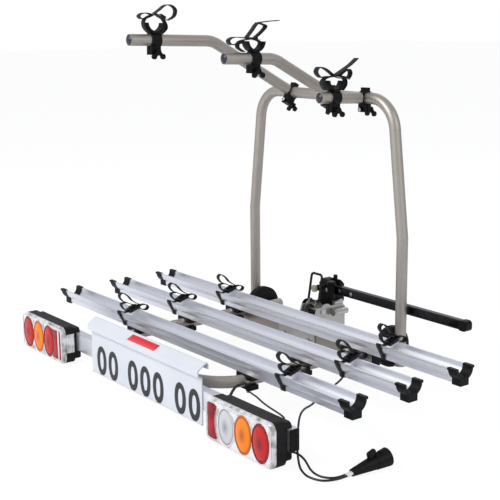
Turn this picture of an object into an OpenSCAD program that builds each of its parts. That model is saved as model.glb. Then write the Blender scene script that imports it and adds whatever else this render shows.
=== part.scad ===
// Towbar bike rack: three wheel rails on a bent tube frame, a folding hoop with
// three clamping arms, a light bar with two lamps, and a clamp for a tow ball.

/* [Rails] */
// Length of a wheel rail over its end caps
rail_length = 1287; // [1260:1:1310]
// Distance between neighbouring wheel rails
rail_pitch = 171.5; // [168:0.5:176]
// Outer radius of the rail's trough
trough_r = 27; // [26.5:0.5:28]
// Wall thickness of the rail
rail_wall = 2; // [1.6:0.1:2.4]
// Width of the rail's foot
foot_w = 24.6; // [23:0.2:26]
// Length of a rail end cap
cap_length = 27.6; // [24:0.2:32]

/* [Frame] */
// Diameter of the frame, hoop and arm tubes
tube_d = 30; // [29:0.5:31]
// Wall thickness of the tubes
tube_wall = 2; // [1.5:0.1:2.5]
// Distance from the middle to a leg of the frame
leg_x = 256; // [252:1:259]
// Bend radius of the frame tube
frame_bend = 115; // [105:1:120]
// Height of the light bar and of the cross beam
bar_h = 50; // [48:1:52]
// Depth of the light bar and of the cross beam
bar_d = 25; // [24:0.5:26]
// Wall thickness of the light bar and of the cross beam
bar_wall = 2.5; // [2:0.1:3]
// Thickness of a hoop pivot plate
pivot_t = 26; // [24:0.5:28]
// Radius of a hoop pivot plate
pivot_r = 56; // [50:1:57]

/* [Hoop and arms] */
// Height of the hoop's crossbar above its pivots
hoop_rise = 653; // [630:1:670]
// Bend radius of the hoop's upper corners
hoop_bend = 85; // [80:1:95]
// Reach of the longest arm from the crossbar
arm_1_reach = 532.5; // [515:0.5:540]
// Reach of the middle arm from the crossbar
arm_2_reach = 358.5; // [345:0.5:365]
// Reach of the shortest arm from the crossbar
arm_3_reach = 158.5; // [150:0.5:160]
// Bend radius of the arms
arm_bend = 80; // [60:1:100]

/* [Lights] */
// Half length of the light bar tube
light_bar_x = 588; // [587:0.5:595]
// Width of a lamp
lamp_w = 244; // [236:1:246]
// Height of a lamp
lamp_h = 104; // [100:1:106]
// Depth of a lamp
lamp_depth = 46; // [42:1:48]
// Half width of the number plate holder
plate_x = 260; // [255:1:265]

/* [Coupling] */
// Diameter of the tow ball that the socket takes
ball_d = 50; // [49.5:0.5:50.5]
// Length of the clamping lever from its pivot
lever_length = 505; // [490:1:520]
// Height of the clamping lever
lever_h = 25; // [23:1:27]

/* [Hidden] */
$fn = 48;
over = 1;
fit = 0.05;
part_gap = 0.3;
hole_gap = 0.3;
seam_r = 0.25;
seam_len = 0.4;
tube_r = tube_d / 2;
bore_r = tube_r - tube_wall;

// Rail section
cap_foot_h = 4;
trough_z = 41;
foot_top = 18;
chamber_h = 6;
slot_w = 8.6;
lip_x = 29.7;
lip_h = 2.2;
rail_end = 2.5;
cap_foot_x = 14;
cap_foot_top = 17;
cap_rim = 1.5;
cap_lining = 3;
cap_lip_x = 32;
cap_lip_drop = 2;
cap_top = 45;
rail_ys = [0, rail_pitch, 2 * rail_pitch];
last_rail = 2 * rail_pitch;

// Frame
saddle_web = 3;
frame_z = cap_foot_h - saddle_web - tube_r;
bar_front = -144;
bar_back = bar_front + bar_d;
bar_top = -7;
bar_z = bar_top - bar_h / 2;
frame_rear = bar_back + tube_r;
frame_past = 172;
frame_front = last_rail + frame_past;
beam_gap = 27;
beam_y = last_rail + beam_gap;
beam_mid = beam_y + bar_d / 2;
beam_past = 46;
beam_x = leg_x + beam_past;
bar_soft = 2;
bar_cap_t = 3;
beam_cap_t = 5;
cap_plug = 12;
bolt_r = 4;
bolt_head_r = 6.5;
bolt_head_h = 5.5;
bolt_hole = bolt_r + hole_gap;
nut_h = 6.5;
saddle_x = 31;
saddle_y = 15;
saddle_drop = 12;
saddle_soft = 3;
keeper_x = 25;
keeper_y = 14;
keeper_h = 11;
keeper_under = 5;
carriage_r = 6.5;
carriage_h = 4;
rail_bolt_tip = 13;
beam_plate_x = 78;
beam_plate_t = 4;
beam_plate_top = -9;
beam_plate_h = 46;
beam_bolt_x = 52;
beam_bolt_z = -34;
stud_out = 10;
bar_bolt_x = 120;
bar_bolt_r = 2.5;
bar_nut_r = 4.6;
bar_nut_h = 4;
stud_r = 3;
stud_head_r = 5;
stud_head_h = 4;
stud_tip = 3;
lamp_stud_x = 75;
hoop_gap = 121;
pivot_y = last_rail + hoop_gap;
hoop_x = leg_x + tube_d + pivot_t;
pivot_bolt_r = 5;
pivot_head_r = 9;
pivot_head_h = 6;
pivot_soft = 13;
lead_hole_y = 330;
lead_hole_r = 3.2;

// Number plate holder
plate_t = 3;
plate_mid = 8;
plate_face = bar_front - plate_t / 2;
plate_bottom = -93;
plate_step_z = 24;
hood_path = [[0, 0], [-11, 5], [-11, 19], [10, 33], [14, 34.5], [17, 33], [18, 29], [18, 19]];
plate_lip = 2.5;
plate_lip_h = 3;
ground = -plate_bottom;

// Lamps
lamp_edge = 586;
lamp_x = lamp_edge - lamp_w / 2;
lamp_mid_z = -39;
lamp_front = bar_front - lamp_depth;
lamp_soft = 18;
lamp_back_step = 7;
lamp_wrap = 14;
lamp_wall = 3;
cover_t = 12;
lens_floor = 2;
lens_w = 61;
lens_h = 91;
lens_sides = 48;
lens_pitch = 62;
lens_inset = 40;
lens_outer = lamp_edge - lens_inset;
lens_fit = 0.2;
glass_inset = 27;
bar_glass_x = lamp_edge - lamp_w + glass_inset;
bar_glass_w = 32;
bar_glass_h = 84;
bar_glass_soft = 6;
left_strip_w = 20;
window_t = 2.5;
window_w = 25;
window_h = 53;
window_z = -33;

// Coupling
ball_past = 137;
ball_y = last_rail + ball_past;
ball_z = -20;
socket_gap = 0.15;
socket_r = ball_d / 2 + socket_gap;
cup_wall = 4.7;
cup_r = ball_d / 2 + cup_wall;
cup_top = 15;
cup_skirt = 12;
flange_x = 70;
flange_t = 6;
flange_y = beam_y + bar_d;
flange_bottom = -60;
flange_h = 70;
cheek_x = 30;
cheek_t = 5;
cheek_shape = [[0, -60], [39, -66], [39, -93], [117, -93], [117, 38], [108, 46], [14, 46], [0, 10]];
cheek_y = flange_y + flange_t;
cheek_knee_past = 105;
cheek_knee_y = last_rail + cheek_knee_past;
cheek_knee_z = 32;
cheek_knee_r = 22;
jaw_past = 92;
jaw_y = last_rail + jaw_past;
jaw_z = 34;
jaw_pin_r = 4;
jaw_r = 27;
jaw_wall = 3;
jaw_back_past = 77;
jaw_back = last_rail + jaw_back_past;
jaw_len = 26;
jaw_top = 56;
jaw_leg_drop = 60;
claw_t = 12;
claw_past = 83;
claw_y = last_rail + claw_past;
claw_bottom = -44;
claw_lip_h = 9;
claw_lip = 23;
claw_x = 20;
jaw_boss_r = 8;
latch_x = 25;
latch_past = 130;
latch_y = last_rail + latch_past;
latch_z = 62;
latch_shape = [[0, 0], [0, 41], [10, 51], [38, 51], [51, 38], [51, -12], [26, -12], [26, 0]];
latch_depth = 51;
latch_h = 51;
latch_face = latch_y + latch_depth;
drum_r = 11.5;
drum_x = 23;
drum_in = 3;
neck_x = 24;
neck_past = 132;
neck_y = last_rail + neck_past;
neck_len = 46;
pin_x = 46;
pin_r = 9;
pin_len = 43;
pin_past = 129;
pin_y = last_rail + pin_past;
pin_z = 28;
pin_head_r = 11;
pin_head_len = 9;
pin_web_x = 6;
upper_pin_r = 7;
upper_pin_past = 133;
upper_pin_y = last_rail + upper_pin_past;
upper_pin_len = 32;
cheek_top = 46;
bail_r = 3.5;
bail_x = 22;
bail_past = 87;
bail_y = last_rail + bail_past;
bail_z = 60;
bail_rise = 76;
bail_lean = 13;
bail_bend = 9;
lug_x = 11;
lug_t = 6;
lug_w = 10;
lug_h = 13;
plunger_r = 6;
plunger_past = 173;
plunger_y = last_rail + plunger_past;
plunger_x = -3.5;
plunger_low = 98;
plunger_top = 121.5;
plunger_travel = 6;
knob_z = 95;
knob_shaft_r = 4;
knob_ball_r = 9;
knob_ball_past = 105;
knob_ball_y = last_rail + knob_ball_past;
knob_disc_r = 10;
knob_disc_t = 7;
knob_past = 86;
knob_y = last_rail + knob_past;
knob_in = 10;
lever_past = 145;
lever_y = last_rail + lever_past;
lever_t = 20;
lever_z = 87;
lever_x = 12;
lever_hub_r = 15;
lever_pin_r = 6;
lever_soft = 4;
grip_len = 28;
grip_skin = 1;
grip_soft = 9;
depth_mid = (latch_face + lamp_front) / 2;

// Hoop and arms
bar_y = pivot_y;
bar_axis = frame_z + hoop_rise;
hoop_foot = 46;
hoop_kink = 299;
hoop_lean = 34;
hoop_lean_rise = 280;
arm_x = [-137, 30, 165];
arm_tip_z = [157.4, 109.9, 8.4];
arm_knee_y = [274.6, 197];
arm_knee_z = [149.2, 104];
arm_start = 20;
plug_lip = 4;
plug_in = 12;
clamp_w = 22;
clamp_r = 19.5;
clamp_block_y = 15;
clamp_block_x = 20;
clamp_block_top = 27;
lug_half = 13;
lug_low = 37;
slit = 2;
wing_z = -30;
screw_shaft_r = 3;
clamp_nut_r = 5.8;
clamp_nut_h = 4;
wing_hub_r = 7;
wing_hub_len = 7;
wing_plate = 6;
wing_reach = 17;
wing_lobe_r = 7;
wing_neck_r = 4.5;
spigot_len = 24;
holder_from_bar = [458, 265, 111];
holder_len = 28;
holder_r = 19;
holder_half = 12;
cradle_z = 46;
cradle_r = 30;
cradle_wall = 7;
cradle_top = 44;
cradle_w = 24;

// Straps
strap_t = 2;
strap_w = 15;
strap_left_x = [-300, -307, -303];
strap_right_x = [406, 420, 385];
wheel_ring = [
    [15, 46.2], [-1.3, 41.2], [-12, 39.5], [-19, 42], [-26, 45.4], [-31.8, 46.2], [-31.2, 40], [-27.4, 32.4],
    [-21.9, 22.8], [-16.8, 14], [-14.3, 6], [-12, 2.7], [12, 2.7], [14.3, 6], [16.8, 14], [21.9, 22.8],
    [27.4, 32.4], [31.2, 40], [34.5, 46], [32, 51.4], [15, 46.2]
];
wheel_loop = [
    [34, 52], [36, 55], [30, 58], [12, 70], [0, 84], [-14, 95], [-24, 95.5], [-28, 87], [-18, 73],
    [-6, 67.5], [8, 60], [20, 56]
];
wheel_left = [[-2, 40], [-9, 44.5], [-19, 54], [-23, 62], [-20.5, 67], [-6, 67.3]];
wheel_right = [[34, 50.5], [44, 52.6], [58, 50.3], [64, 43], [57.5, 36.2], [44, 38.6], [37, 44.8]];
buckle_x = 11.5;
buckle_y = 15;
buckle_z = 46.2;
buckle_len = 32;
buckle_h = 9;
buckle_slot = 4;
buckle_tilt = 17;
holder_path = [
    [-30.3, 27], [-31.3, 35], [-33.5, 44], [-37, 51], [-43, 58], [-41, 67], [-32, 68], [-20, 63], [-4, 61],
    [12, 61], [30, 64], [48, 74], [60, 74], [63, 66], [56, 56], [42, 49], [32.6, 42], [31.3, 35], [30.3, 27]
];
tail_path = [[-2, 65.5], [10, 66.5], [22, 72], [34, 84], [48, 100]];
holder_strap_w = 20;
small_buckle_x = 13;
small_buckle_len = 16;
small_buckle_y = 4;
small_buckle_z = 63;
small_buckle_h = 11;
small_buckle_slot = 7.4;

// Leads
lead_d = 5;
lamp_feed_d = 4.5;
bar_feed_d = 7;
left_lead_path = [
    [262, 330, -14], [275, 327.6, -13.8], [286, 319.5, -13], [306, 294.5, -10.5], [330, 268, -8],
    [380, 205, -4], [419, 158, -2], [440, 118, -3], [474, 50, -3], [507, -12, -3], [519, -44, -3],
    [540, -74, -5], [562, -98, -20], [582, -117, -58], [604, -130, -84], [630, -141, -89.5],
    [658, -146, -89.5], [686, -136, -89.5], [702, -110, -88], [706.1, -80.4, -85.8], [706.7, -70.5, -84.5]
];
right_lead_path = [
    [560, -129.7, -70], [561, -121.3, -70.5], [566.4, -111, -73.1], [577, -104.4, -78.1],
    [590.5, -103.6, -84], [606, -108.6, -88.2], [625, -117.5, -89.5], [648, -125, -89.5],
    [670, -124.5, -89.5], [688, -114, -89], [696, -98, -88], [698.7, -80, -85.8], [699.3, -70.1, -84.5]
];
lamp_feed_path = [
    [262, -10, -38], [290, -20, -33], [330, -42, -22], [368, -60, -14], [425, -88, -4], [477, -108, 3],
    [515, -116, 4], [540, -120, 2], [552, -129.7, 0]
];
bar_feed_path = [
    [272, -22, -14], [286, -36, -6], [303, -52, 0], [308, -78, -1], [316, -100, -16], [318, -110, -20],
    [318, -118.5, -20]
];
plug_end = [703, -70, -84.5];
plug_nose = [709, 28, -72];
boot_len = 38;
grip_len_2 = 26;
boot_r = 8.2;
boot_top_r = 13;
collar_r = 16.2;
body_low_r = 16.9;
body_r = 20.8;
plug_len = norm(plug_nose - plug_end);

// Directions and bends of a flat path
function unit(v) = v / norm(v);
function heading(p, i) = unit(p[i + 1] - p[i]);
function cross2(a, b) = a[0] * b[1] - a[1] * b[0];
function turn(p, i) = atan2(cross2(heading(p, i - 1), heading(p, i)), heading(p, i - 1) * heading(p, i));
function setback(p, bends, i) = (i <= 0 || i >= len(p) - 1) ? 0 : bends[i] * tan(abs(turn(p, i)) / 2);
function trim(bends, i) = bends[i] > 0 ? seam_len / 2 : 0;
function longer(p, extra) = [
    for (i = [0 : len(p) - 1])
        i == 0 ? p[0] - heading(p, 0) * extra
        : i == len(p) - 1 ? p[i] + heading(p, i - 1) * extra
        : p[i]
];
function left_of(v) = [-v[1], v[0]];

// Catmull-Rom curve through hand-chosen points
function blend(a, b, c, d, t) = (2 * b + (c - a) * t + (2 * a - 5 * b + 4 * c - d) * t * t
    + (3 * b - a - 3 * c + d) * t * t * t) / 2;
function curve_at(p, i, t) = blend(p[max(i - 1, 0)], p[i], p[i + 1], p[min(i + 2, len(p) - 1)], t);
function curve(p, steps) = concat(
    [for (i = [0 : len(p) - 2], j = [0 : steps - 1]) curve_at(p, i, j / steps)],
    [p[len(p) - 1]]
);
function tangent(p, i) = unit(p[min(i + 1, len(p) - 1)] - p[max(i - 1, 0)]);
function beside(p, i, w) = p[i] + left_of(tangent(p, i)) * w;
function first_side(t) = unit(cross(t, [0, 0.3, 1]));
function side_at(p, i) = i == 0 ? first_side(tangent(p, 0))
    : let (t = tangent(p, i), s = side_at(p, i - 1)) unit(s - (s * t) * t);
function ring_at(p, i, r, n) = let (t = tangent(p, i), u = side_at(p, i), v = cross(t, u))
    [for (k = [0 : n - 1]) p[i] + (u * cos(360 * k / n) + v * sin(360 * k / n)) * r];

module stand() {
    translate([0, -depth_mid, ground]) children();
}

module rod_x(p, r, h) {
    translate(p) rotate([0, 90, 0]) cylinder(r = r, h = h);
}

module rod_y(p, r, h) {
    translate(p) rotate([-90, 0, 0]) cylinder(r = r, h = h);
}

module rod_z(p, r, h) {
    translate(p) cylinder(r = r, h = h);
}

module nut_x(p, r, h) {
    translate(p) rotate([0, 90, 0]) cylinder(r = r, h = h, $fn = 6);
}

module nut_y(p, r, h) {
    translate(p) rotate([-90, 0, 0]) cylinder(r = r, h = h, $fn = 6);
}

module nut_z(p, r, h) {
    translate(p) cylinder(r = r, h = h, $fn = 6);
}

// Extrudes a side view, drawn in Y and Z, along X
module span_x(start, long) {
    translate([start, 0, 0]) rotate([90, 0, 90]) linear_extrude(height = long) children();
}

// Extrudes a front view, drawn in X and Z, along Y
module span_y(start, long) {
    translate([0, start + long, 0]) rotate([90, 0, 0]) linear_extrude(height = long) children();
}

module both_sides() {
    children();
    mirror([1, 0, 0]) children();
}

module soft_rect(w, h, r) {
    square([w - 2 * r, h], center = true);
    square([w, h - 2 * r], center = true);
    for (sx = [-1, 1], sy = [-1, 1])
        translate([sx * (w / 2 - r), sy * (h / 2 - r)]) circle(r);
}

// A round bar along a flat path; a corner with no bend radius gets a ball
module run(p, bends, r) {
    for (i = [0 : len(p) - 2]) {
        a = p[i] + heading(p, i) * (setback(p, bends, i) + trim(bends, i));
        b = p[i + 1] - heading(p, i) * (setback(p, bends, i + 1) + trim(bends, i + 1));
        translate([a[0], a[1], 0])
            rotate([0, 90, atan2(heading(p, i)[1], heading(p, i)[0])])
                cylinder(r = r, h = norm(b - a));
    }
    if (len(p) > 2)
        for (i = [1 : len(p) - 2]) {
            s = sign(turn(p, i));
            if (bends[i] == 0)
                translate([p[i][0], p[i][1], 0]) sphere(r + seam_r);
            a = p[i] - heading(p, i - 1) * setback(p, bends, i);
            n = left_of(heading(p, i - 1));
            c = a + n * s * bends[i];
            from = atan2(-s * n[1], -s * n[0]) - (s < 0 ? abs(turn(p, i)) : 0);
            if (bends[i] > 0)
                translate([c[0], c[1], 0])
                    rotate([0, 0, from])
                        rotate_extrude(angle = abs(turn(p, i)))
                            translate([bends[i], 0]) circle(r);
            for (k = bends[i] > 0 ? [i - 1, i] : []) {
                e = p[i] + heading(p, k) * setback(p, bends, i) * (k < i ? -1 : 1);
                translate([e[0], e[1], 0])
                    rotate([0, 90, atan2(heading(p, k)[1], heading(p, k)[0])])
                        cylinder(r = r + seam_r, h = 2 * seam_len, center = true);
            }
        }
}

module bent_tube(p, bends) {
    difference() {
        run(p, bends, tube_r);
        run(longer(p, over), bends, bore_r);
    }
}

// The side view of a flat band of even thickness along a curve
module band_shape(p, steps, thick) {
    c = curve(p, steps);
    last = len(c) - 1;
    polygon(concat(
        [for (i = [0 : last]) beside(c, i, thick / 2)],
        [for (i = [0 : last]) beside(c, last - i, -thick / 2)]
    ));
}

module band(p, steps, thick, wide) {
    span_x(-wide / 2, wide) band_shape(p, steps, thick);
}

// A round lead along a curve in space
module lead(p, steps, d, n) {
    c = curve(p, steps);
    last = len(c) - 1;
    points = [for (i = [0 : last]) each ring_at(c, i, d / 2, n)];
    sides = [
        for (i = [0 : last - 1], k = [0 : n - 1])
            [i * n + k, (i + 1) * n + k, (i + 1) * n + (k + 1) % n, i * n + (k + 1) % n]
    ];
    caps = [[for (k = [0 : n - 1]) k], [for (k = [0 : n - 1]) last * n + n - 1 - k]];
    polyhedron(points = points, faces = concat(sides, caps));
}

module frame_run(r, extra) {
    p = [
        [-leg_x, frame_front], [-leg_x, frame_rear],
        [leg_x, frame_rear], [leg_x, frame_front]
    ];
    translate([0, 0, frame_z]) run(longer(p, extra), [0, frame_bend, frame_bend, 0], r);
}

module base_frame() {
    color("#9d968e") stand() difference() {
        frame_run(tube_r, 0);
        frame_run(bore_r, over);
        both_sides() {
            for (y = rail_ys)
                rod_z([leg_x, y, frame_z - tube_d], bolt_hole, 2 * tube_d);
            rod_z([leg_x, beam_mid, frame_z - tube_d], bolt_hole, 2 * tube_d);
            rod_x([leg_x - tube_d, pivot_y, frame_z], pivot_bolt_r + fit, 2 * tube_d);
            rod_y([bar_bolt_x, frame_rear - tube_d, frame_z], bar_bolt_r + hole_gap, 2 * tube_d);
        }
        rod_x([leg_x, lead_hole_y, frame_z], lead_hole_r, tube_d);
    }
}

module pivot_plate_shape() {
    square([pivot_r - pivot_soft, pivot_t - part_gap]);
    square([pivot_r, pivot_t - part_gap - pivot_soft]);
    translate([pivot_r - pivot_soft, pivot_t - part_gap - pivot_soft]) circle(pivot_soft);
}

module hoop_pivot_plates() {
    color("#1b1b1d") stand() both_sides()
        translate([leg_x + tube_r, pivot_y, frame_z]) rotate([0, 90, 0]) difference() {
            rotate_extrude() pivot_plate_shape();
            translate([0, 0, -over]) cylinder(r = pivot_bolt_r + fit, h = pivot_t + 2 * over);
        }
}

module bar_section(w, h, wall) {
    difference() {
        soft_rect(w, h, bar_soft);
        square([w - 2 * wall, h - 2 * wall], center = true);
    }
}

module cross_beam() {
    color("#a39c93") stand() difference() {
        span_x(-beam_x, 2 * beam_x) translate([beam_mid, bar_z]) bar_section(bar_d, bar_h, bar_wall);
        both_sides() {
            rod_y([leg_x, beam_y - over, frame_z], tube_r + fit, bar_d + 2 * over);
            translate([leg_x - tube_r - fit, beam_y - over, frame_z])
                cube([tube_d + 2 * fit, bar_d + 2 * over, bar_h]);
            rod_z([leg_x, beam_mid, bar_z - bar_h], bolt_hole, bar_h);
            rod_y([beam_bolt_x, beam_y - over, beam_bolt_z], bolt_hole, bar_d + 2 * over);
        }
    }
}

module light_bar() {
    color("#c9cacc") stand() difference() {
        span_x(-light_bar_x, 2 * light_bar_x)
            translate([bar_front + bar_d / 2, bar_z]) bar_section(bar_d, bar_h, bar_wall);
        both_sides() {
            rod_y([bar_bolt_x, bar_back - bar_wall - over, frame_z], bar_bolt_r + hole_gap, bar_wall + 2 * over);
            for (x = [-lamp_stud_x, lamp_stud_x])
                rod_y([lamp_x + x, bar_front - over, bar_z], stud_r + hole_gap, bar_d + 2 * over);
        }
    }
}

module bar_cap(t, mid) {
    rotate([90, 0, 90]) linear_extrude(height = t) translate([mid, bar_z]) soft_rect(bar_d, bar_h, bar_soft);
    translate([-cap_plug, mid, bar_z])
        rotate([90, 0, 90]) linear_extrude(height = cap_plug)
            square([bar_d - 2 * bar_wall - 2 * fit, bar_h - 2 * bar_wall - 2 * fit], center = true);
}

module bar_end_caps() {
    color("#161617") stand() both_sides() {
        translate([light_bar_x, 0, 0]) bar_cap(bar_cap_t, bar_front + bar_d / 2);
        translate([beam_x, 0, 0]) bar_cap(beam_cap_t, beam_mid);
    }
}

module beam_plate() {
    color("#b9b1a3") stand() difference() {
        span_y(beam_y - beam_plate_t, beam_plate_t)
            translate([0, beam_plate_top - beam_plate_h / 2])
                soft_rect(2 * beam_plate_x, beam_plate_h, bar_soft);
        both_sides()
            rod_y([beam_bolt_x, beam_y - beam_plate_t - over, beam_bolt_z], bolt_hole, beam_plate_t + 2 * over);
    }
}

module frame_bolts() {
    color("#b4b6b8") stand() both_sides() {
        nut_z([leg_x, beam_mid, frame_z + tube_r], bolt_head_r, bolt_head_h);
        rod_z([leg_x, beam_mid, bar_z - bar_h / 2 - nut_h - stud_tip], bolt_r,
            frame_z + tube_r - bar_z + bar_h / 2 + nut_h + stud_tip);
        nut_z([leg_x, beam_mid, bar_z - bar_h / 2 - nut_h], bolt_head_r, nut_h);
        nut_y([beam_bolt_x, beam_y - beam_plate_t - nut_h, beam_bolt_z], bolt_head_r, nut_h);
        rod_y([beam_bolt_x, beam_y - beam_plate_t - nut_h - stud_out, beam_bolt_z], bolt_r,
            stud_out + nut_h + beam_plate_t + bar_d + flange_t);
        nut_y([beam_bolt_x, flange_y + flange_t, beam_bolt_z], bolt_head_r, bolt_head_h);
        translate([bar_bolt_x, bar_back - bar_wall - bar_nut_h, frame_z]) rotate([-90, 30, 0])
            cylinder(r = bar_nut_r, h = bar_nut_h, $fn = 6);
        rod_y([bar_bolt_x, bar_back - bar_wall - bar_nut_h, frame_z], bar_bolt_r, bar_wall + bar_nut_h + tube_d);
        nut_y([bar_bolt_x, bar_back + tube_d, frame_z], bar_nut_r, bar_nut_h);
        nut_x([leg_x - tube_r - pivot_head_h, pivot_y, frame_z], pivot_head_r, pivot_head_h);
        rod_x([leg_x - tube_r - pivot_head_h, pivot_y, frame_z], pivot_bolt_r,
            pivot_head_h + 2 * tube_d + pivot_t + part_gap);
        rod_x([hoop_x + tube_r + part_gap, pivot_y, frame_z], pivot_head_r, pivot_head_h);
        for (x = [-lamp_stud_x, lamp_stud_x]) {
            rod_y([lamp_x + x, bar_front - lamp_wall - stud_head_h, bar_z], stud_head_r, stud_head_h);
            rod_y([lamp_x + x, bar_front - lamp_wall - stud_head_h, bar_z], stud_r,
                stud_head_h + lamp_wall + bar_d + stud_head_h + stud_tip);
            nut_y([lamp_x + x, bar_back, bar_z], stud_head_r, stud_head_h);
        }
    }
}

module rail_section() {
    difference() {
        union() {
            translate([-foot_w / 2, cap_foot_h]) square([foot_w, foot_top - cap_foot_h]);
            intersection() {
                translate([0, trough_z]) circle(trough_r);
                translate([-trough_r, 0]) square([2 * trough_r, trough_z]);
            }
            translate([-lip_x, trough_z]) square([2 * lip_x, lip_h]);
        }
        translate([0, trough_z]) circle(trough_r - rail_wall);
        translate([-foot_w / 2 + rail_wall, cap_foot_h + rail_wall])
            square([foot_w - 2 * rail_wall, chamber_h]);
        translate([-slot_w / 2, cap_foot_h - over]) square([slot_w, rail_wall + 2 * over]);
    }
}

module rail(y) {
    color("#cfd2d6") stand()
        translate([0, y, 0])
            span_x(-rail_length / 2 + rail_end, rail_length - 2 * rail_end) rail_section();
}

module rail_1() {
    rail(rail_ys[0]);
}

module rail_2() {
    rail(rail_ys[1]);
}

module rail_3() {
    rail(rail_ys[2]);
}

module cap_section() {
    difference() {
        union() {
            translate([-cap_foot_x, 0]) square([2 * cap_foot_x, cap_foot_top]);
            intersection() {
                translate([0, trough_z]) circle(trough_r + cap_rim);
                translate([-cap_lip_x, 0]) square([2 * cap_lip_x, trough_z]);
            }
            translate([-cap_lip_x, trough_z - cap_lip_drop])
                square([2 * cap_lip_x, cap_top - trough_z + cap_lip_drop]);
        }
        translate([0, trough_z]) circle(trough_r - rail_wall - cap_lining);
        translate([-trough_r + rail_wall + cap_lining, trough_z])
            square([2 * (trough_r - rail_wall - cap_lining), cap_top]);
    }
}

module cap_hollow() {
    translate([-foot_w / 2 - fit, cap_foot_h - fit]) square([foot_w + 2 * fit, foot_top - cap_foot_h]);
    difference() {
        intersection() {
            translate([0, trough_z]) circle(trough_r + fit);
            translate([-trough_r - fit, 0]) square([2 * (trough_r + fit), trough_z]);
        }
        translate([0, trough_z]) circle(trough_r - rail_wall - fit);
    }
    difference() {
        translate([-lip_x - fit, trough_z - fit]) square([2 * (lip_x + fit), lip_h + 2 * fit]);
        translate([-trough_r + rail_wall + fit, trough_z - over])
            square([2 * (trough_r - rail_wall - fit), lip_h + 2 * over]);
    }
}

module rail_end_caps() {
    color("#141415") stand() both_sides() for (y = rail_ys)
        translate([0, y, 0]) difference() {
            span_x(rail_length / 2 - cap_length, cap_length) cap_section();
            span_x(rail_length / 2 - cap_length - over, cap_length + over - rail_end + fit) cap_hollow();
        }
}

module upper_saddle(y) {
    difference() {
        translate([leg_x, y, frame_z + tube_r + saddle_web - saddle_drop])
            linear_extrude(height = saddle_drop) soft_rect(2 * saddle_x, 2 * saddle_y, saddle_soft);
        frame_run(tube_r + fit, over);
        rod_z([leg_x, y, frame_z], bolt_hole, tube_d);
    }
}

module lower_saddle(y) {
    difference() {
        translate([leg_x, y, frame_z - tube_r - keeper_under])
            linear_extrude(height = keeper_h) soft_rect(2 * keeper_x, 2 * keeper_y, saddle_soft);
        frame_run(tube_r + fit, over);
        rod_z([leg_x, y, frame_z - tube_d], bolt_hole, tube_d);
    }
}

module rail_saddles() {
    color("#18181a") stand() both_sides() for (y = rail_ys) {
        upper_saddle(y);
        lower_saddle(y);
    }
}

module rail_bolts() {
    color("#c2c4c6") stand() both_sides() for (y = rail_ys) {
        low = frame_z - tube_r - keeper_under;
        rod_z([leg_x, y, cap_foot_h + rail_wall], carriage_r, carriage_h);
        rod_z([leg_x, y, low - rail_bolt_tip], bolt_r, cap_foot_h + rail_wall - low + rail_bolt_tip);
        nut_z([leg_x, y, low - nut_h], bolt_head_r, nut_h);
    }
}

module wheel_strap(x, y) {
    translate([x, y, 0]) span_x(-strap_w / 2, strap_w) {
        band_shape(wheel_ring, 3, strap_t);
        band_shape(wheel_loop, 3, strap_t);
        band_shape(wheel_left, 3, strap_t);
        band_shape(wheel_right, 3, strap_t);
    }
}

module wheel_straps() {
    color("#151516") stand() for (i = [0 : 2]) {
        wheel_strap(strap_left_x[i], rail_ys[i]);
        wheel_strap(strap_right_x[i], rail_ys[i]);
    }
}

module wheel_buckles() {
    color("#2a2a2c") stand() for (i = [0 : 2], x = [strap_left_x[i], strap_right_x[i]])
        translate([x, rail_ys[i] + buckle_y, buckle_z]) rotate([buckle_tilt, 0, 0]) difference() {
            translate([-buckle_x, -buckle_len / 2, -buckle_h / 2])
                cube([2 * buckle_x, buckle_len, buckle_h]);
            translate([-strap_w / 2 - part_gap, -buckle_len, -buckle_slot / 2])
                cube([strap_w + 2 * part_gap, 2 * buckle_len, buckle_slot]);
        }
}

module number_plate_holder() {
    c = [for (p = hood_path) p + [plate_face, plate_step_z]];
    face = [[plate_face, plate_bottom]];
    p = concat(face, c);
    last = len(p) - 1;
    color("#dcdde0") stand() span_x(plate_mid - plate_x, 2 * plate_x) {
        polygon(concat(
            [for (i = [0 : last]) mitre(p, i, plate_t / 2)],
            [for (i = [0 : last]) mitre(p, last - i, -plate_t / 2)]
        ));
        translate([plate_face - plate_t / 2 - plate_lip, plate_bottom])
            square([plate_lip + plate_t / 2, plate_lip_h]);
    }
}

function mitre(p, i, w) = i == 0 ? p[0] + left_of(heading(p, 0)) * w
    : i == len(p) - 1 ? p[i] + left_of(heading(p, i - 1)) * w
    : let (m = unit(left_of(heading(p, i - 1)) + left_of(heading(p, i))))
        p[i] + m * w / (m * left_of(heading(p, i)));

module lamp_outline(inset) {
    translate([lamp_x, lamp_mid_z]) soft_rect(lamp_w - 2 * inset, lamp_h - 2 * inset, lamp_soft - inset);
}

module lamp_housing() {
    floor_y = bar_front - lamp_wall;
    difference() {
        union() {
            span_y(lamp_front + cover_t, lamp_depth - cover_t - lamp_back_step) lamp_outline(0);
            span_y(bar_front - lamp_back_step, lamp_back_step + lamp_wrap) lamp_outline(lamp_back_step);
        }
        translate([lamp_x - lamp_w, bar_front, bar_z - bar_h / 2 - part_gap])
            cube([2 * lamp_w, bar_d, bar_h + 2 * part_gap]);
        span_y(lamp_front + cover_t - over, lamp_depth - cover_t - lamp_wall - lamp_back_step + over)
            lamp_outline(lamp_wall);
        span_y(lamp_front + cover_t, lamp_depth - cover_t - lamp_wall)
            lamp_outline(lamp_wall + lamp_back_step);
        for (x = [-lamp_stud_x, lamp_stud_x])
            rod_y([lamp_x + x, floor_y - over, bar_z], stud_r + hole_gap, lamp_wall + 2 * over);
    }
}

module lamp_housing_right() {
    color("#151517") stand() lamp_housing();
}

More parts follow.
